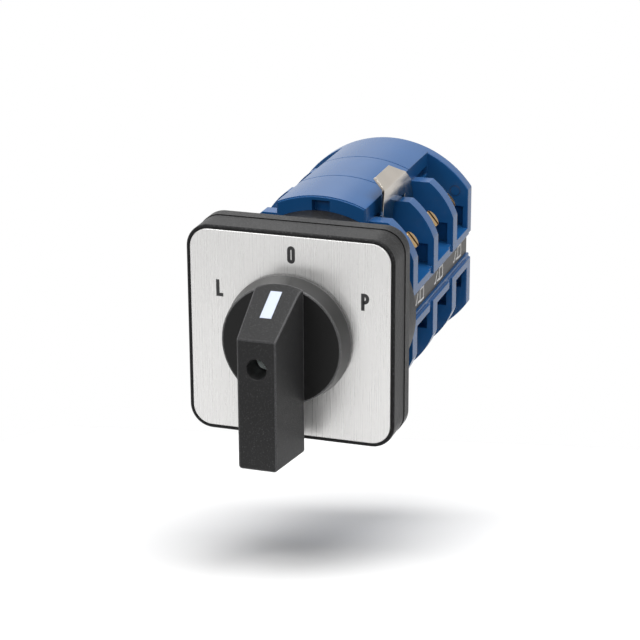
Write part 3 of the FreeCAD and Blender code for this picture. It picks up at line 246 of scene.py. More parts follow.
def group_of(name, inputs, outputs):
    """A shader node group with named float, colour or vector sockets."""
    group = bpy.data.node_groups.new(name, "ShaderNodeTree")
    for label, kind, value in inputs:
        socket = group.interface.new_socket(label, in_out="INPUT", socket_type=kind)
        socket.default_value = value
    for label, kind in outputs:
        group.interface.new_socket(label, in_out="OUTPUT", socket_type=kind)
    return group


def moulded_skin_group():
    """Skin of a moulded plastic: a fine grain in the height, faint clouds and specks in the tone,
    a gloss that changes a little from place to place, and a paler tone on rounded edges as a painted
    highlight."""
    group = group_of("moulded_skin", [
        ("Tone", "NodeSocketColor", (0.5, 0.5, 0.5, 1.0)),
        ("Cloud", "NodeSocketFloat", 0.1),
        ("Grain Size", "NodeSocketFloat", 2500.0),
        ("Grain Height", "NodeSocketFloat", 0.1),
        ("Gloss", "NodeSocketFloat", 0.45),
        ("Gloss Change", "NodeSocketFloat", 0.08),
        ("Speckle", "NodeSocketFloat", 0.0),
        ("Edge Highlight Tone", "NodeSocketColor", (0.5, 0.5, 0.5, 1.0)),
        ("Edge Highlight Width", "NodeSocketFloat", 0.0002),
        ("Edge Highlight Share", "NodeSocketFloat", 0.0),
    ], [("Tone", "NodeSocketColor"), ("Gloss", "NodeSocketFloat"), ("Normal", "NodeSocketVector")])
    entry = node_of(group, "NodeGroupInput")
    place = node_of(group, "ShaderNodeTexCoord")
    clouds = node_of(group, "ShaderNodeTexNoise")
    clouds.inputs["Scale"].default_value = CLOUD_SCALE
    clouds.inputs["Detail"].default_value = CLOUD_DETAIL
    grain = node_of(group, "ShaderNodeTexNoise")
    grain.inputs["Detail"].default_value = GRAIN_DETAIL
    link(group, place.outputs["Object"], clouds.inputs["Vector"])
    link(group, place.outputs["Object"], grain.inputs["Vector"])
    link(group, entry.outputs["Grain Size"], grain.inputs["Scale"])
    centred = node_of(group, "ShaderNodeMath", operation="SUBTRACT")
    centred.inputs[1].default_value = 0.5
    link(group, clouds.outputs["Fac"], centred.inputs[0])
    swing = node_of(group, "ShaderNodeMath", operation="MULTIPLY")
    link(group, centred.outputs[0], swing.inputs[0])
    link(group, entry.outputs["Cloud"], swing.inputs[1])
    speck = node_of(group, "ShaderNodeMapRange")
    speck.inputs["From Min"].default_value = SPECK_RANGE[0]
    speck.inputs["From Max"].default_value = SPECK_RANGE[1]
    link(group, grain.outputs["Fac"], speck.inputs["Value"])
    speckled = node_of(group, "ShaderNodeMath", operation="MULTIPLY_ADD")
    link(group, speck.outputs[0], speckled.inputs[0])
    link(group, entry.outputs["Speckle"], speckled.inputs[1])
    speckled.inputs[2].default_value = 1.0
    level = node_of(group, "ShaderNodeMath", operation="ADD")
    link(group, swing.outputs[0], level.inputs[0])
    link(group, speckled.outputs[0], level.inputs[1])
    toned = node_of(group, "ShaderNodeVectorMath", operation="SCALE")
    link(group, entry.outputs["Tone"], toned.inputs[0])
    link(group, level.outputs[0], toned.inputs["Scale"])
    # Painted highlight: where the bevel's rounded normal turns away from the true one, the tone gives
    # way to the paler edge tone.
    rounded = node_of(group, "ShaderNodeBevel", samples=EDGE_SAMPLES)
    link(group, entry.outputs["Edge Highlight Width"], rounded.inputs["Radius"])
    true_side = node_of(group, "ShaderNodeNewGeometry")
    agree = node_of(group, "ShaderNodeVectorMath", operation="DOT_PRODUCT")
    link(group, rounded.outputs[0], agree.inputs[0])
    link(group, true_side.outputs["Normal"], agree.inputs[1])
    at_edge = node_of(group, "ShaderNodeMapRange")
    at_edge.inputs["From Min"].default_value = EDGE_RANGE[0]
    at_edge.inputs["From Max"].default_value = EDGE_RANGE[1]
    link(group, agree.outputs["Value"], at_edge.inputs["Value"])
    edge_highlight_share = node_of(group, "ShaderNodeMath", operation="MULTIPLY")
    link(group, at_edge.outputs[0], edge_highlight_share.inputs[0])
    link(group, entry.outputs["Edge Highlight Share"], edge_highlight_share.inputs[1])
    edge_highlighted = node_of(group, "ShaderNodeMix", data_type="RGBA")
    link(group, edge_highlight_share.outputs[0], edge_highlighted.inputs["Factor"])
    link(group, toned.outputs[0], edge_highlighted.inputs["A"])
    link(group, entry.outputs["Edge Highlight Tone"], edge_highlighted.inputs["B"])
    shine = node_of(group, "ShaderNodeMath", operation="MULTIPLY_ADD")
    link(group, centred.outputs[0], shine.inputs[0])
    link(group, entry.outputs["Gloss Change"], shine.inputs[1])
    link(group, entry.outputs["Gloss"], shine.inputs[2])
    bump = node_of(group, "ShaderNodeBump")
    bump.inputs["Distance"].default_value = GRAIN_DEPTH
    link(group, entry.outputs["Grain Height"], bump.inputs["Strength"])
    link(group, grain.outputs["Fac"], bump.inputs["Height"])
    leave = node_of(group, "NodeGroupOutput")
    link(group, edge_highlighted.outputs["Result"], leave.inputs["Tone"])
    link(group, shine.outputs[0], leave.inputs["Gloss"])
    link(group, bump.outputs[0], leave.inputs["Normal"])
    return group


moulded_skin = moulded_skin_group()


def moulded_plastic(name, tone, gloss, cloud=0.15, grain=2500.0, height=0.1, shine=0.5,
                    speckle=0.0, edge=None):
    """A plastic whose tone, gloss and grain come from the moulded skin."""
    material = bpy.data.materials.new(name)
    material.use_nodes = True
    tree = material.node_tree
    surface = tree.nodes["Principled BSDF"]
    skin = node_of(tree, "ShaderNodeGroup", node_tree=moulded_skin, name="skin")
    skin.inputs["Tone"].default_value = tone
    skin.inputs["Cloud"].default_value = cloud
    skin.inputs["Grain Size"].default_value = grain
    skin.inputs["Grain Height"].default_value = height
    skin.inputs["Gloss"].default_value = gloss
    skin.inputs["Speckle"].default_value = speckle
    # edge gives a painted highlight on rounded edges: its paler tone, its width in millimetres and its
    # share.
    if edge:
        skin.inputs["Edge Highlight Tone"].default_value = edge["tone"]
        skin.inputs["Edge Highlight Width"].default_value = edge["width"] * MM
        skin.inputs["Edge Highlight Share"].default_value = edge["share"]
    link(tree, skin.outputs["Tone"], surface.inputs["Base Color"])
    link(tree, skin.outputs["Gloss"], surface.inputs["Roughness"])
    link(tree, skin.outputs["Normal"], surface.inputs["Normal"])
    surface.inputs["Specular IOR Level"].default_value = shine
    return material


def square_ring(half, corner, y):
    """Points of a rounded square about the shaft's axis: each corner is a quarter circle whose
    centre stands in from both sides by the corner's radius. A corner of half the side is a circle."""
    quarter = np.radians(np.linspace(0.0, 90.0, CORNER_STEPS))
    angle = quarter[None, :] + np.radians([[0.0], [90.0], [180.0], [270.0]])
    inward = half - corner
    signs = np.array([[1, 1], [-1, 1], [-1, -1], [1, -1]])
    x = signs[:, :1] * inward + corner * np.cos(angle)
    z = signs[:, 1:] * inward + corner * np.sin(angle)
    return np.stack([x.ravel(), np.full(x.size, y), z.ravel()], -1)


def edge_steps(start, end, bulge, steps=5):
    """Points of a rounded edge from start to end: a quarter of an ellipse that keeps to the side
    named by bulge, 'first' for the first value's direction and 'second' for the second's."""
    turn = np.linspace(0.0, np.pi / 2, steps)
    ahead, behind = np.sin(turn), 1 - np.cos(turn)
    shares = (ahead, behind) if bulge == "first" else (behind, ahead)
    return [(start[0] + (end[0] - start[0]) * a, start[1] + (end[1] - start[1]) * b)
            for a, b in zip(*shares)]


def ringed_mesh(name, rings, joined=False):
    """Quads between each ring of points and the next, in millimetres. The first and the last ring
    are closed by a point at their middle, or meet each other when joined."""
    rings = np.asarray(rings, float)
    layers, around = rings.shape[:2]
    index = np.arange(layers * around).reshape(layers, around)
    nearer = index if joined else index[:-1]
    farther = np.roll(index, -1, axis=0) if joined else index[1:]
    quads = np.stack([nearer, np.roll(nearer, -1, axis=1), np.roll(farther, -1, axis=1), farther], -1)
    spots = [rings.reshape(-1, 3)]
    faces = quads.reshape(-1, 4).tolist()
    if not joined:
        for middle, ring in enumerate((0, -1), start=layers * around):
            spots.append(rings[ring].mean(0)[None, :])
            fan = np.stack([index[ring], np.roll(index[ring], -1), np.full(around, middle)], -1)
            faces += fan.tolist()
    mesh = bpy.data.meshes.new(name)
    mesh.from_pydata((np.concatenate(spots) * MM).tolist(), [], faces)
    work = bmesh.new()
    work.from_mesh(mesh)
    bmesh.ops.remove_doubles(work, verts=work.verts, dist=SAME_POINT)
    bmesh.ops.recalc_face_normals(work, faces=work.faces)
    work.to_mesh(mesh)
    work.free()
    return mesh


def dressed(name, mesh, body, material, stands_for=(), sharp=HARD_EDGE):
    """Makes a piece of a mesh: smooth except at edges sharper than the given angle in degrees."""
    piece = bpy.data.objects.new(name, mesh)
    scene.collection.objects.link(piece)
    mesh.materials.clear()
    mesh.materials.append(material)
    mesh.polygons.foreach_set("use_smooth", np.ones(len(mesh.polygons), bool))
    mesh.set_sharp_from_angle(angle=math.radians(sharp))
    even = piece.modifiers.new("even_light", "WEIGHTED_NORMAL")
    even.keep_sharp = True
    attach(piece, body)
    if stands_for:
        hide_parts(*stands_for)
    return piece


bed = BEZEL_FRONT + PLATE_THICK
bezel_path = [(CENTRE_HOLE, 0.0, True), (CENTRE_HOLE, bed, True), (PLATE_HALF, bed, False)]
bezel_path += [(half, y, False) for half, y in edge_steps(
    (PLATE_HALF, BEZEL_FRONT + LIP_EDGE), (PLATE_HALF + LIP_EDGE, BEZEL_FRONT), "second", 4)]
bezel_path += [(half, y, False) for half, y in edge_steps(
    (BEZEL_HALF - BEZEL_EDGE, BEZEL_FRONT), (BEZEL_HALF, BEZEL_FRONT + BEZEL_EDGE), "first", 6)]
bezel_path += [(half, y, False) for half, y in edge_steps(
    (BEZEL_HALF, -BACK_EDGE), (BEZEL_HALF - BACK_EDGE, 0.0), "second", 4)]
bezel_rings = [
    square_ring(half, half if hole else half - (BEZEL_HALF - BEZEL_CORNER), y)
    for half, y, hole in bezel_path]
frame_black = moulded_plastic(
    "frame_black", BEZEL_SHADE, gloss=0.38, cloud=0.9, grain=2100.0, height=1.0, shine=0.10, speckle=5.0)
dressed("frame_moulding", ringed_mesh("frame_moulding", bezel_rings, joined=True),
        "switch_frame", frame_black, ["front_bezel"])


# Mounting plate and latch housing: black moulded pieces behind the panel.
# Their mould edges are slightly rounded, and the plate has four holes for the panel's screws.
MOULD_EDGE = 0.25
MERGE_DISTANCE = 0.000003
FLAT_ANGLE = 0.8
EASING_STEPS = 2


def eased_copy(name, node, width, material):
    """A copy of a CAD node with its triangles merged into whole faces and its sharp edges rounded
    by the given width in millimetres."""
    mesh = cad_nodes[node].data.copy()
    mesh.name = name
    for attribute in [item for item in mesh.attributes if item.name in ("custom_normal", "sharp_edge")]:
        mesh.attributes.remove(attribute)
    work = bmesh.new()
    work.from_mesh(mesh)
    bmesh.ops.remove_doubles(work, verts=work.verts, dist=MERGE_DISTANCE)
    bmesh.ops.dissolve_limit(
        work, angle_limit=math.radians(FLAT_ANGLE), verts=work.verts, edges=work.edges)
    bmesh.ops.recalc_face_normals(work, faces=work.faces)
    work.to_mesh(mesh)
    work.free()
    piece = bpy.data.objects.new(name, mesh)
    scene.collection.objects.link(piece)
    mesh.materials.clear()
    mesh.materials.append(material)
    mesh.polygons.foreach_set("use_smooth", np.ones(len(mesh.polygons), bool))
    eased = piece.modifiers.new("eased_edges", "BEVEL")
    eased.width = width * MM
    eased.segments = EASING_STEPS
    eased.limit_method = "ANGLE"
    eased.angle_limit = math.radians(HARD_EDGE)
    eased.use_clamp_overlap = True
    even = piece.modifiers.new("even_light", "WEIGHTED_NORMAL")
    even.keep_sharp = True
    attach(piece, cad_nodes[node]["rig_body"])
    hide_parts(node)
    return piece


eased_copy("mounting_moulding", "mounting_plate", MOULD_EDGE, frame_black)
eased_copy("latch_moulding", "latch_housing", MOULD_EDGE, frame_black)


# Legend plate: a thin aluminium sheet, brushed upright, with black printed position marks.
# It lies in the frame's bed, flush with its rim.
PLATE_SHADE = (0.70, 0.695, 0.685, 1.0)
PLATE_LINES = (4400.0, 4400.0, 42.0)
PLATE_EDGE = 0.4
PRINT_SHADE = (0.012, 0.012, 0.013, 1.0)
PRINT_LIFT = 0.02
MARK_STROKE = 1.05
PLATE_GAP = 0.01
ZERO_SIDES = (-0.02, 1.33)
ZERO_ENDS = (23.08, 27.28)
LEFT_STROKES = ((-22.22, 15.5), (-22.22, 10.85), (-20.55, 10.85))
RIGHT_STEM = ((22.42, 10.35), (22.42, 15.05))
RIGHT_BOWL = (22.98, 13.95)
RIGHT_BOWL_REACH = (0.86, 1.1)
RIGHT_BOWL_END = (22.6, 12.85)
LINE_DETAIL = 6.0
LINE_ROUGHNESS = 0.62
LINE_GLOSS_CHANGE = 0.25
LINE_DEPTH = 0.00005


def brushed_lines_group():
    """Brushing: noise stretched along one direction, for the tone, the gloss and the height."""
    group = group_of("brushed_lines", [
        ("Tone", "NodeSocketColor", (0.8, 0.8, 0.8, 1.0)),
        ("Across", "NodeSocketVector", (1.0, 1.0, 1.0)),
        ("Change", "NodeSocketFloat", 0.12),
        ("Gloss", "NodeSocketFloat", 0.35),
        ("Height", "NodeSocketFloat", 0.1),
    ], [("Tone", "NodeSocketColor"), ("Gloss", "NodeSocketFloat"), ("Normal", "NodeSocketVector")])
    entry = node_of(group, "NodeGroupInput")
    place = node_of(group, "ShaderNodeTexCoord")
    stretched = node_of(group, "ShaderNodeVectorMath", operation="MULTIPLY")
    link(group, place.outputs["Object"], stretched.inputs[0])
    link(group, entry.outputs["Across"], stretched.inputs[1])
    lines = node_of(group, "ShaderNodeTexNoise")
    lines.inputs["Scale"].default_value = 1.0
    lines.inputs["Detail"].default_value = LINE_DETAIL
    lines.inputs["Roughness"].default_value = LINE_ROUGHNESS
    link(group, stretched.outputs[0], lines.inputs["Vector"])
    centred = node_of(group, "ShaderNodeMath", operation="SUBTRACT")
    centred.inputs[1].default_value = 0.5
    link(group, lines.outputs["Fac"], centred.inputs[0])
    level = node_of(group, "ShaderNodeMath", operation="MULTIPLY_ADD")
    link(group, centred.outputs[0], level.inputs[0])
    link(group, entry.outputs["Change"], level.inputs[1])
    level.inputs[2].default_value = 1.0
    toned = node_of(group, "ShaderNodeVectorMath", operation="SCALE")
    link(group, entry.outputs["Tone"], toned.inputs[0])
    link(group, level.outputs[0], toned.inputs["Scale"])
    shine = node_of(group, "ShaderNodeMath", operation="MULTIPLY_ADD")
    link(group, centred.outputs[0], shine.inputs[0])
    shine.inputs[1].default_value = LINE_GLOSS_CHANGE
    link(group, entry.outputs["Gloss"], shine.inputs[2])
    bump = node_of(group, "ShaderNodeBump")
    bump.inputs["Distance"].default_value = LINE_DEPTH
    link(group, entry.outputs["Height"], bump.inputs["Strength"])
    link(group, lines.outputs["Fac"], bump.inputs["Height"])
    leave = node_of(group, "NodeGroupOutput")
    link(group, toned.outputs[0], leave.inputs["Tone"])
    link(group, shine.outputs[0], leave.inputs["Gloss"])
    link(group, bump.outputs[0], leave.inputs["Normal"])
    return group


brushed_lines = brushed_lines_group()


def brushed_metal(name, tone, across, gloss, change=0.12, height=0.1, metallic=1.0):
    """A metal with fine lines. across holds how fast the lines change along X, Y and Z, per metre."""
    material = bpy.data.materials.new(name)
    material.use_nodes = True
    tree = material.node_tree
    surface = tree.nodes["Principled BSDF"]
    surface.inputs["Metallic"].default_value = metallic
    lines = node_of(tree, "ShaderNodeGroup", node_tree=brushed_lines)
    lines.inputs["Tone"].default_value = tone
    lines.inputs["Across"].default_value = across
    lines.inputs["Change"].default_value = change
    lines.inputs["Gloss"].default_value = gloss
    lines.inputs["Height"].default_value = height
    link(tree, lines.outputs["Tone"], surface.inputs["Base Color"])
    link(tree, lines.outputs["Gloss"], surface.inputs["Roughness"])
    link(tree, lines.outputs["Normal"], surface.inputs["Normal"])
    return material


def printed_stroke(path, width, place, closed=False):
    """Rings of a flat ribbon along a path: half the width to each side of it, mitred where it
    turns, and twice the print's lift thick. place turns path coordinates into X, Y and Z."""
    path = np.asarray(path, float)
    if closed:
        before, after = np.roll(path, 1, axis=0), np.roll(path, -1, axis=0)
    else:
        before = np.vstack([2 * path[0] - path[1], path[:-1]])
        after = np.vstack([path[1:], 2 * path[-1] - path[-2]])
    into = (path - before) / np.linalg.norm(path - before, axis=1, keepdims=True)
    away = (after - path) / np.linalg.norm(after - path, axis=1, keepdims=True)
    side = np.stack([-(into + away)[:, 1], (into + away)[:, 0]], -1)
    side /= np.linalg.norm(side, axis=1, keepdims=True)
    across = np.stack([-into[:, 1], into[:, 0]], -1)
    reach = width / 2 / np.sum(side * across, axis=1, keepdims=True)
    left, right = path + side * reach, path - side * reach
    lifted = [place(left, PRINT_LIFT), place(right, PRINT_LIFT),
              place(right, -PRINT_LIFT), place(left, -PRINT_LIFT)]
    return np.stack(lifted, axis=1)


def arc_path(centre, radii, start, end, steps=14):
    """Points of an ellipse's arc between two angles in degrees."""
    angle = np.radians(np.linspace(start, end, steps))
    return np.stack([centre[0] + radii[0] * np.cos(angle), centre[1] + radii[1] * np.sin(angle)], -1)


def on_plate(spots, lift):
    """Plate coordinates, across and up, laid just in front of the plate."""
    return np.stack([spots[:, 0], np.full(len(spots), BEZEL_FRONT - lift), spots[:, 1]], -1)


def zero_mark():
    """An upright oval with straight sides: two half circles joined by lines."""
    bend = (ZERO_SIDES[1] - ZERO_SIDES[0]) / 2
    middle = ZERO_SIDES[0] + bend
    top = arc_path((middle, ZERO_ENDS[1] - bend), (bend, bend), 0, 180)
    bottom = arc_path((middle, ZERO_ENDS[0] + bend), (bend, bend), 180, 360)
    return np.vstack([top, bottom])


def right_mark():
    """A letter P: a stem, and a bowl that leaves its top and comes back at its middle."""
    bowl = arc_path(RIGHT_BOWL, RIGHT_BOWL_REACH, 90, -90)
    return np.vstack([RIGHT_STEM, bowl, [RIGHT_BOWL_END]])


plate_path = [(CENTRE_HOLE, bed, True), (CENTRE_HOLE, BEZEL_FRONT, True)]
plate_path += [(half, y, False) for half, y in edge_steps(
    (PLATE_HALF - PLATE_EDGE, BEZEL_FRONT), (PLATE_HALF - PLATE_GAP, BEZEL_FRONT + PLATE_EDGE),
    "first", 4)]
plate_path += [(PLATE_HALF - PLATE_GAP, bed, False)]
plate_rings = [
    square_ring(half, half if hole else half - (PLATE_HALF - PLATE_CORNER), y)
    for half, y, hole in plate_path]
brushed_plate = brushed_metal(
    "brushed_plate", PLATE_SHADE, PLATE_LINES, gloss=0.30, change=0.22, height=0.035, metallic=0.65)
dressed("legend_sheet", ringed_mesh("legend_sheet", plate_rings, joined=True),
        "switch_frame", brushed_plate, ["legend_plate"])
print_black = moulded_plastic("print_black", PRINT_SHADE, gloss=0.5, cloud=0.3, height=0.1)
zero_ribbon = printed_stroke(zero_mark(), MARK_STROKE, on_plate, closed=True)
dressed("zero_print", ringed_mesh("zero_print", zero_ribbon, joined=True),
        "switch_frame", print_black)
for name, mark in (("left_print", LEFT_STROKES), ("right_print", right_mark())):
    dressed(name, ringed_mesh(name, printed_stroke(mark, MARK_STROKE, on_plate)),
            "switch_frame", print_black)


# Contact stages and rear cover: blue moulded plastic with a satin gloss. Each stage has a saddle,
# a divider wall, rails for the label strips and chambers for the contacts.
BLUE_SHADE = (0.011, 0.078, 0.228, 1.0)
# A darker blue of the same plastic, used as painted shade.
PIN_RING_PAINTED_SHADE = (0.005, 0.035, 0.11, 1.0)
STAGE_EDGE = 0.3
REAR_FRONT = 88.72
PIN_MARK = (23.47, 19.12)
PIN_RADIUS = 1.7
PIN_STROKE = 0.35
PIN_POINTS = 24
pin_ring_painted_shade = moulded_plastic("pin_ring_painted_shade", PIN_RING_PAINTED_SHADE, gloss=0.3)
stage_blue = moulded_plastic(
    "stage_blue", BLUE_SHADE, gloss=0.22, cloud=0.2, grain=900.0, height=0.05, shine=0.2)
for number in (1, 2, 3):
    eased_copy(f"stage_moulding_{number}", f"stage_housing_{number}",
               STAGE_EDGE, stage_blue)
eased_copy("rear_moulding", "rear_cover", STAGE_EDGE, stage_blue)


def on_rear_cover(spots, lift):
    """Coordinates across and up, laid just in front of the rear cover's front face."""
    return np.stack([spots[:, 0], np.full(len(spots), REAR_FRONT - lift), spots[:, 1]], -1)


# A pin of the mould leaves a round mark on the rear cover. Its ring is drawn in a darker blue than the
# cover: painted shade in the mark's fine groove.
pin_circle = arc_path(PIN_MARK, (PIN_RADIUS, PIN_RADIUS), 0, 360 - 360 / PIN_POINTS, PIN_POINTS)
pin_ribbon = printed_stroke(pin_circle, PIN_STROKE, on_rear_cover, closed=True)
dressed("pin_mark", ringed_mesh("pin_mark", pin_ribbon, joined=True),
        "switch_frame", pin_ring_painted_shade)


# Terminals: brass screws with slotted heads and fixed contacts of brass strip, clamps of plated
# steel, and one bent link of plated sheet between the first two stages.
ZINC_SHADE = (0.62, 0.64, 0.62, 1.0)
BRASS_SHADE = (0.39, 0.26, 0.11, 1.0)
LINK_SHADE = (0.46, 0.42, 0.37, 1.0)
ZINC_LINES = (700.0, 700.0, 700.0)
BRASS_LINES = (500.0, 500.0, 500.0)
LINK_LINES = (60.0, 160.0, 60.0)
METAL_EDGE = 0.12
zinc = brushed_metal("zinc_plate", ZINC_SHADE, ZINC_LINES, gloss=0.35, change=0.3)
brass = brushed_metal("turned_brass", BRASS_SHADE, BRASS_LINES, gloss=0.3, change=0.4)
link_metal = brushed_metal(
    "plated_sheet", LINK_SHADE, LINK_LINES, gloss=0.12, change=0.25, height=0.03)
for number in (1, 2, 3):
    eased_copy(f"screws_turned_{number}", f"terminal_screws_{number}", METAL_EDGE, brass)
    eased_copy(f"clamps_pressed_{number}", f"terminal_clamps_{number}", METAL_EDGE, zinc)
eased_copy("link_bent", "jumper_link", METAL_EDGE, link_metal)


def finish_nodes(names, material):
    """Gives CAD nodes whose shape is right their material."""
    for name in names:
        mesh = cad_nodes[name].data
        mesh.materials.clear()
        mesh.materials.append(material)


finish_nodes([name for name in cad_nodes if name.startswith("fixed_contact")], brass)


# Label strips: thin dark grey plastic in the grooves of the rails, with pale printed signs.
STRIP_SHADE = (0.046, 0.042, 0.037, 1.0)
SIGN_SHADE = (0.80, 0.79, 0.76, 1.0)
SIGN_STROKE = 0.6
SIGN_BOX = ((0.8, -1.9), (4.8, -1.9), (4.8, 1.9), (0.8, 1.9))
SIGN_LEVER = ((-5.0, -1.6), (-3.6, -1.6), (-1.6, 1.5))
SIGN_LEAD = ((-1.8, -1.6), (0.4, -1.6))
STRIP_FACE = 26.4
SIGN_PLACES = (36.0, 58.5, 81.5)
strip_grey = moulded_plastic("strip_grey", STRIP_SHADE, gloss=0.5, cloud=0.2, height=0.1)
sign_white = moulded_plastic("sign_white", SIGN_SHADE, gloss=0.5, cloud=0.3, height=0.05)
finish_nodes(["label_strip_right", "label_strip_left"], strip_grey)


def on_strip(side, middle):
    """Gives the function that lays strip coordinates, along the switch and up, on one side."""
    def laid(spots, lift):
        """Points just outside the strip, or just inside it for a negative lift."""
        return np.stack([np.full(len(spots), side * (STRIP_FACE + lift)), middle + side * spots[:, 0],
                         spots[:, 1]], -1)
    return laid


# The plain sign of a contact: a box for the cam, a lever that slopes up to it and its lead.
contact_sign = ((SIGN_BOX, True), (SIGN_LEVER, False), (SIGN_LEAD, False))
for side_name, side in (("right", 1), ("left", -1)):
    for number, middle in enumerate(SIGN_PLACES, start=1):
        for part, (path, closed) in enumerate(contact_sign, start=1):
            name = f"strip_sign_{side_name}_{number}_{part}"
            ribbon = printed_stroke(path, SIGN_STROKE, on_strip(side, middle), closed)
            dressed(name, ringed_mesh(name, ribbon, joined=closed),
                    "switch_frame", sign_white)


# Mechanism inside the stages: cams and followers of plastic, bridges of brass, springs of steel
# wire, and the square shaft with its latch wheel.
CAM_SHADE = (0.62, 0.56, 0.42, 1.0)
black_inside = moulded_plastic("inner_black", BEZEL_SHADE, gloss=0.5)
cam_ivory = moulded_plastic("cam_ivory", CAM_SHADE, gloss=0.45)
finish_nodes([name for name in cad_nodes if name.startswith("bridge")], brass)
finish_nodes([name for name in cad_nodes if name.startswith("plunger")], black_inside)
finish_nodes([name for name in cad_nodes if name.startswith(
    ("cam", "latch_slider", "latch_star"))], cam_ivory)
finish_nodes([name for name in cad_nodes if name.startswith(
    ("spring", "latch_spring", "shaft", "tie_bolts"))], zinc)


# Handle: black moulded plastic with a fine grain, in one piece. A round skirt stands just off the
# plate, and a tapered grip with a sloped top crosses it. A screw deep in the grip holds it.
# The skirt's flank widens evenly from its face to a short band beside the plate.
HANDLE_SHADE = (0.022, 0.022, 0.0225, 1.0)
# The grip's and the skirt's rounded edges take a paler tone: a painted highlight.
GRIP_EDGE_PAINTED_HIGHLIGHT = {"tone": (0.16, 0.16, 0.165, 1.0), "width": 0.5, "share": 1.0}
# The skirt is given a darker tone than the grip, though both are one moulding: painted shade.
SKIRT_TONE_WITH_PAINTED_SHADE = (0.004, 0.004, 0.0041, 1.0)
SKIRT_EDGE_PAINTED_HIGHLIGHT = {"tone": (0.34, 0.34, 0.345, 1.0), "width": 0.55, "share": 1.0}
SKIRT_BACK = -10.8
SKIRT_BAND = 1.5
SKIRT_FACE = -18.5
SKIRT_RADIUS = 19.4
SKIRT_FRONT = 18.4
SKIRT_EDGE = 0.5
SKIRT_BACK_EDGE = 0.3
SKIRT_MIDDLE = 0.01
FLANK_STEP = 0.15
FLANK_FOOT = 0.4
BAND_EDGE = (0.02, 0.1)
GRIP_FACE = -39.5
GRIP_HALF = (5.8, 7.0)
GRIP_LOW = (-30.8, -32.8)
GRIP_EDGE = 0.4
GRIP_LOW_EDGE = 1.0
GRIP_LEAST_EDGE = 0.05
GRIP_SECOND = 1.5
GRIP_RINGS = 36
ROOF_POINTS = 19
BEND_POINTS = 6
SIDE_POINTS = 12
LOW_POINTS = 8
HEAD_HOLE = 3.05
HOLE_EDGE = 0.2
HEAD_SEAT = -29.1
GRIP_TOP = 8.7
GRIP_CREST = 18.9
SLOPE_RUN = 20.6
DARK_RIM = 1.2
HANDLE_HARD_EDGE = 38.0
SKIRT_GLOSS = 0.42
BAND_COAT = 0.6
BAND_MARGIN = 0.1


def grip_size(y):
    """Half width and lowest height of the grip: both change evenly from its face to the skirt."""
    share = (y - GRIP_FACE) / (SKIRT_FACE - GRIP_FACE)
    half = GRIP_HALF[0] + (GRIP_HALF[1] - GRIP_HALF[0]) * share
    low = GRIP_LOW[0] + (GRIP_LOW[1] - GRIP_LOW[0]) * share
    return half, low


def grip_ring(y, inset):
    """The grip's section at y, drawn in by inset: flat bottom, flat sides, rounded corners and a
    top that follows the slope up to the round crest."""
    half, low = grip_size(y)
    half, low = half - inset, low + inset
    bend = max(GRIP_EDGE - inset, GRIP_LEAST_EDGE)
    rise = (GRIP_CREST - GRIP_TOP) / SLOPE_RUN
    slope = GRIP_TOP + rise * (y - GRIP_FACE) - inset

    def top(x):
        """Height of the grip's top at x: the slope, or the round crest where that is lower."""
        return np.minimum(slope, np.sqrt(GRIP_CREST ** 2 - x ** 2))

    across = np.linspace(half - bend, -(half - bend), ROOF_POINTS)
    roof = np.stack([across, top(across)], -1)
    shoulder = top(half - bend) - bend
    left = arc_path((-(half - bend), shoulder), (bend, bend), 90, 180, BEND_POINTS)
    turn = max(GRIP_LOW_EDGE - inset, GRIP_LEAST_EDGE)
    low_left = arc_path((-(half - turn), low + turn), (turn, turn), 180, 270, BEND_POINTS)
    low_right = arc_path((half - turn, low + turn), (turn, turn), 270, 360, BEND_POINTS)
    right = arc_path((half - bend, shoulder), (bend, bend), 0, 90, BEND_POINTS)
    rise_left = np.linspace(left[-1], low_left[0], SIDE_POINTS)[1:-1]
    rise_right = np.linspace(low_right[-1], right[0], SIDE_POINTS)[1:-1]
    floor_line = np.linspace(low_left[-1], low_right[0], LOW_POINTS)[1:-1]
    outline = np.vstack(
        [roof, left[1:], rise_left, low_left, floor_line, low_right, rise_right, right[:-1]])
    return np.stack([outline[:, 0], np.full(len(outline), y), outline[:, 1]], -1)


def hole_ring(outline, radius, y):
    """A circle about the axis whose points lie in the same directions as an outline's."""
    flat = outline[:, [0, 2]]
    flat = flat / np.linalg.norm(flat, axis=1, keepdims=True) * radius
    return np.stack([flat[:, 0], np.full(len(flat), y), flat[:, 1]], -1)


def beyond_radius(tree, radius):
    """A mask: one where the surface is farther from the shaft's axis than the radius in millimetres."""
    place = node_of(tree, "ShaderNodeTexCoord")
    flat = node_of(tree, "ShaderNodeVectorMath", operation="MULTIPLY")
    flat.inputs[1].default_value = (1.0, 0.0, 1.0)
    link(tree, place.outputs["Object"], flat.inputs[0])
    distance = node_of(tree, "ShaderNodeVectorMath", operation="LENGTH")
    link(tree, flat.outputs[0], distance.inputs[0])
    beyond = node_of(tree, "ShaderNodeMath", operation="GREATER_THAN")
    beyond.inputs[1].default_value = radius * MM
    link(tree, distance.outputs["Value"], beyond.inputs[0])
    return beyond.outputs[0]


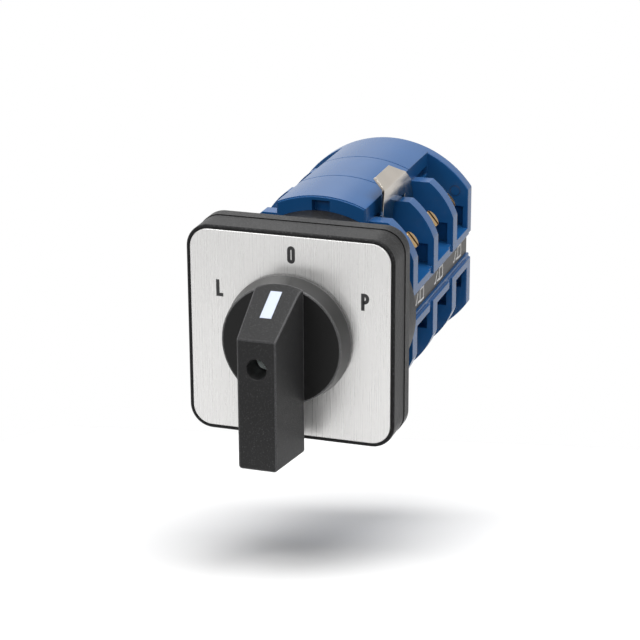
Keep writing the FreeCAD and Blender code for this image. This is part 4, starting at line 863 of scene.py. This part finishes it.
face_edge = edge_steps((GRIP_EDGE, GRIP_FACE), (0.0, GRIP_FACE + GRIP_EDGE), "first", 5)
first_ring = grip_ring(GRIP_FACE, GRIP_EDGE)
grip_rings = [hole_ring(first_ring, HEAD_HOLE, HEAD_SEAT),
              hole_ring(first_ring, HEAD_HOLE, GRIP_FACE + HOLE_EDGE),
              hole_ring(first_ring, HEAD_HOLE + HOLE_EDGE, GRIP_FACE)]
grip_rings += [grip_ring(y, inset) for inset, y in face_edge]
grip_rings += [grip_ring(y, 0.0)
               for y in np.linspace(GRIP_FACE + GRIP_SECOND, SKIRT_FACE, GRIP_RINGS)]
band_start = SKIRT_BACK - SKIRT_BAND
skirt_path = [(SKIRT_MIDDLE, SKIRT_FACE)]
skirt_path += edge_steps((SKIRT_FRONT - SKIRT_EDGE, SKIRT_FACE),
                         (SKIRT_FRONT, SKIRT_FACE + SKIRT_EDGE), "first", 6)
skirt_path += [(SKIRT_RADIUS - FLANK_STEP, band_start - FLANK_FOOT)]
skirt_path += edge_steps((SKIRT_RADIUS - BAND_EDGE[0], band_start),
                         (SKIRT_RADIUS, band_start + BAND_EDGE[1]), "first", 3)
skirt_path += edge_steps((SKIRT_RADIUS, SKIRT_BACK - SKIRT_BACK_EDGE),
                         (SKIRT_RADIUS - SKIRT_BACK_EDGE, SKIRT_BACK), "second", 4)
skirt_path += [(SKIRT_MIDDLE, SKIRT_BACK)]
skirt_rings = [square_ring(radius, radius, y) for radius, y in skirt_path]
handle_black = moulded_plastic(
    "handle_black", HANDLE_SHADE, gloss=0.45, cloud=0.5, height=0.4, shine=0.12, speckle=1.5,
    edge=GRIP_EDGE_PAINTED_HIGHLIGHT)
skirt_black_with_painted_shade = moulded_plastic(
    "skirt_black_with_painted_shade", SKIRT_TONE_WITH_PAINTED_SHADE, gloss=SKIRT_GLOSS, cloud=0.2, height=0.25, shine=0.22,
    edge=SKIRT_EDGE_PAINTED_HIGHLIGHT)
# The painted edge highlights keep away from the screw's hole, whose rim is dark.
handle_tree = handle_black.node_tree
link(handle_tree, beyond_radius(handle_tree, HEAD_HOLE + DARK_RIM),
     handle_tree.nodes["skin"].inputs["Edge Highlight Share"])
# The skirt's outer band is polished by the mould like a thin coat, and its face is dull.
skirt_tree = skirt_black_with_painted_shade.node_tree
skirt_surface = skirt_tree.nodes["Principled BSDF"]
skirt_surface.inputs["Coat Roughness"].default_value = SKIRT_GLOSS
band_coat = node_of(skirt_tree, "ShaderNodeMath", operation="MULTIPLY")
band_coat.inputs[1].default_value = BAND_COAT
link(skirt_tree, beyond_radius(skirt_tree, SKIRT_FRONT - BAND_MARGIN), band_coat.inputs[0])
link(skirt_tree, band_coat.outputs[0], skirt_surface.inputs["Coat Weight"])
grip_mesh = ringed_mesh("handle_moulding", grip_rings)
skirt_mesh = ringed_mesh("skirt_moulding", skirt_rings)
dressed("handle_grip", grip_mesh, "rotor", handle_black, ["handle"],
        sharp=HANDLE_HARD_EDGE)
dressed("handle_skirt", skirt_mesh, "rotor", skirt_black_with_painted_shade, sharp=HANDLE_HARD_EDGE)


# Marker and screw: a pale plastic bar pressed into the grip's slope, and a plated steel screw.
MARKER_SHADE = (0.50, 0.55, 0.68, 1.0)
MARKER_EDGE = 0.05
# The screw's plating is paler than the clamps'. Its greenish tint is its own, and the extra paleness is
# painted light that brightens it deep in its dim hole.
SCREW_TONE_WITH_PAINTED_LIGHT = (0.80, 0.88, 0.86, 1.0)
SCREW_LINES = (900.0, 900.0, 900.0)
SCREW_EDGE = 0.1
marker_white = moulded_plastic("marker_white", MARKER_SHADE, gloss=0.35, cloud=0.05, height=0.05)
eased_copy("marker_bar", "handle_marker", MARKER_EDGE, marker_white)
screw_zinc_with_painted_light = brushed_metal(
    "screw_zinc_with_painted_light", SCREW_TONE_WITH_PAINTED_LIGHT, SCREW_LINES, gloss=0.30, change=0.6, height=0.5, metallic=0.3)
eased_copy("handle_screw_turned", "handle_screw", SCREW_EDGE, screw_zinc_with_painted_light)
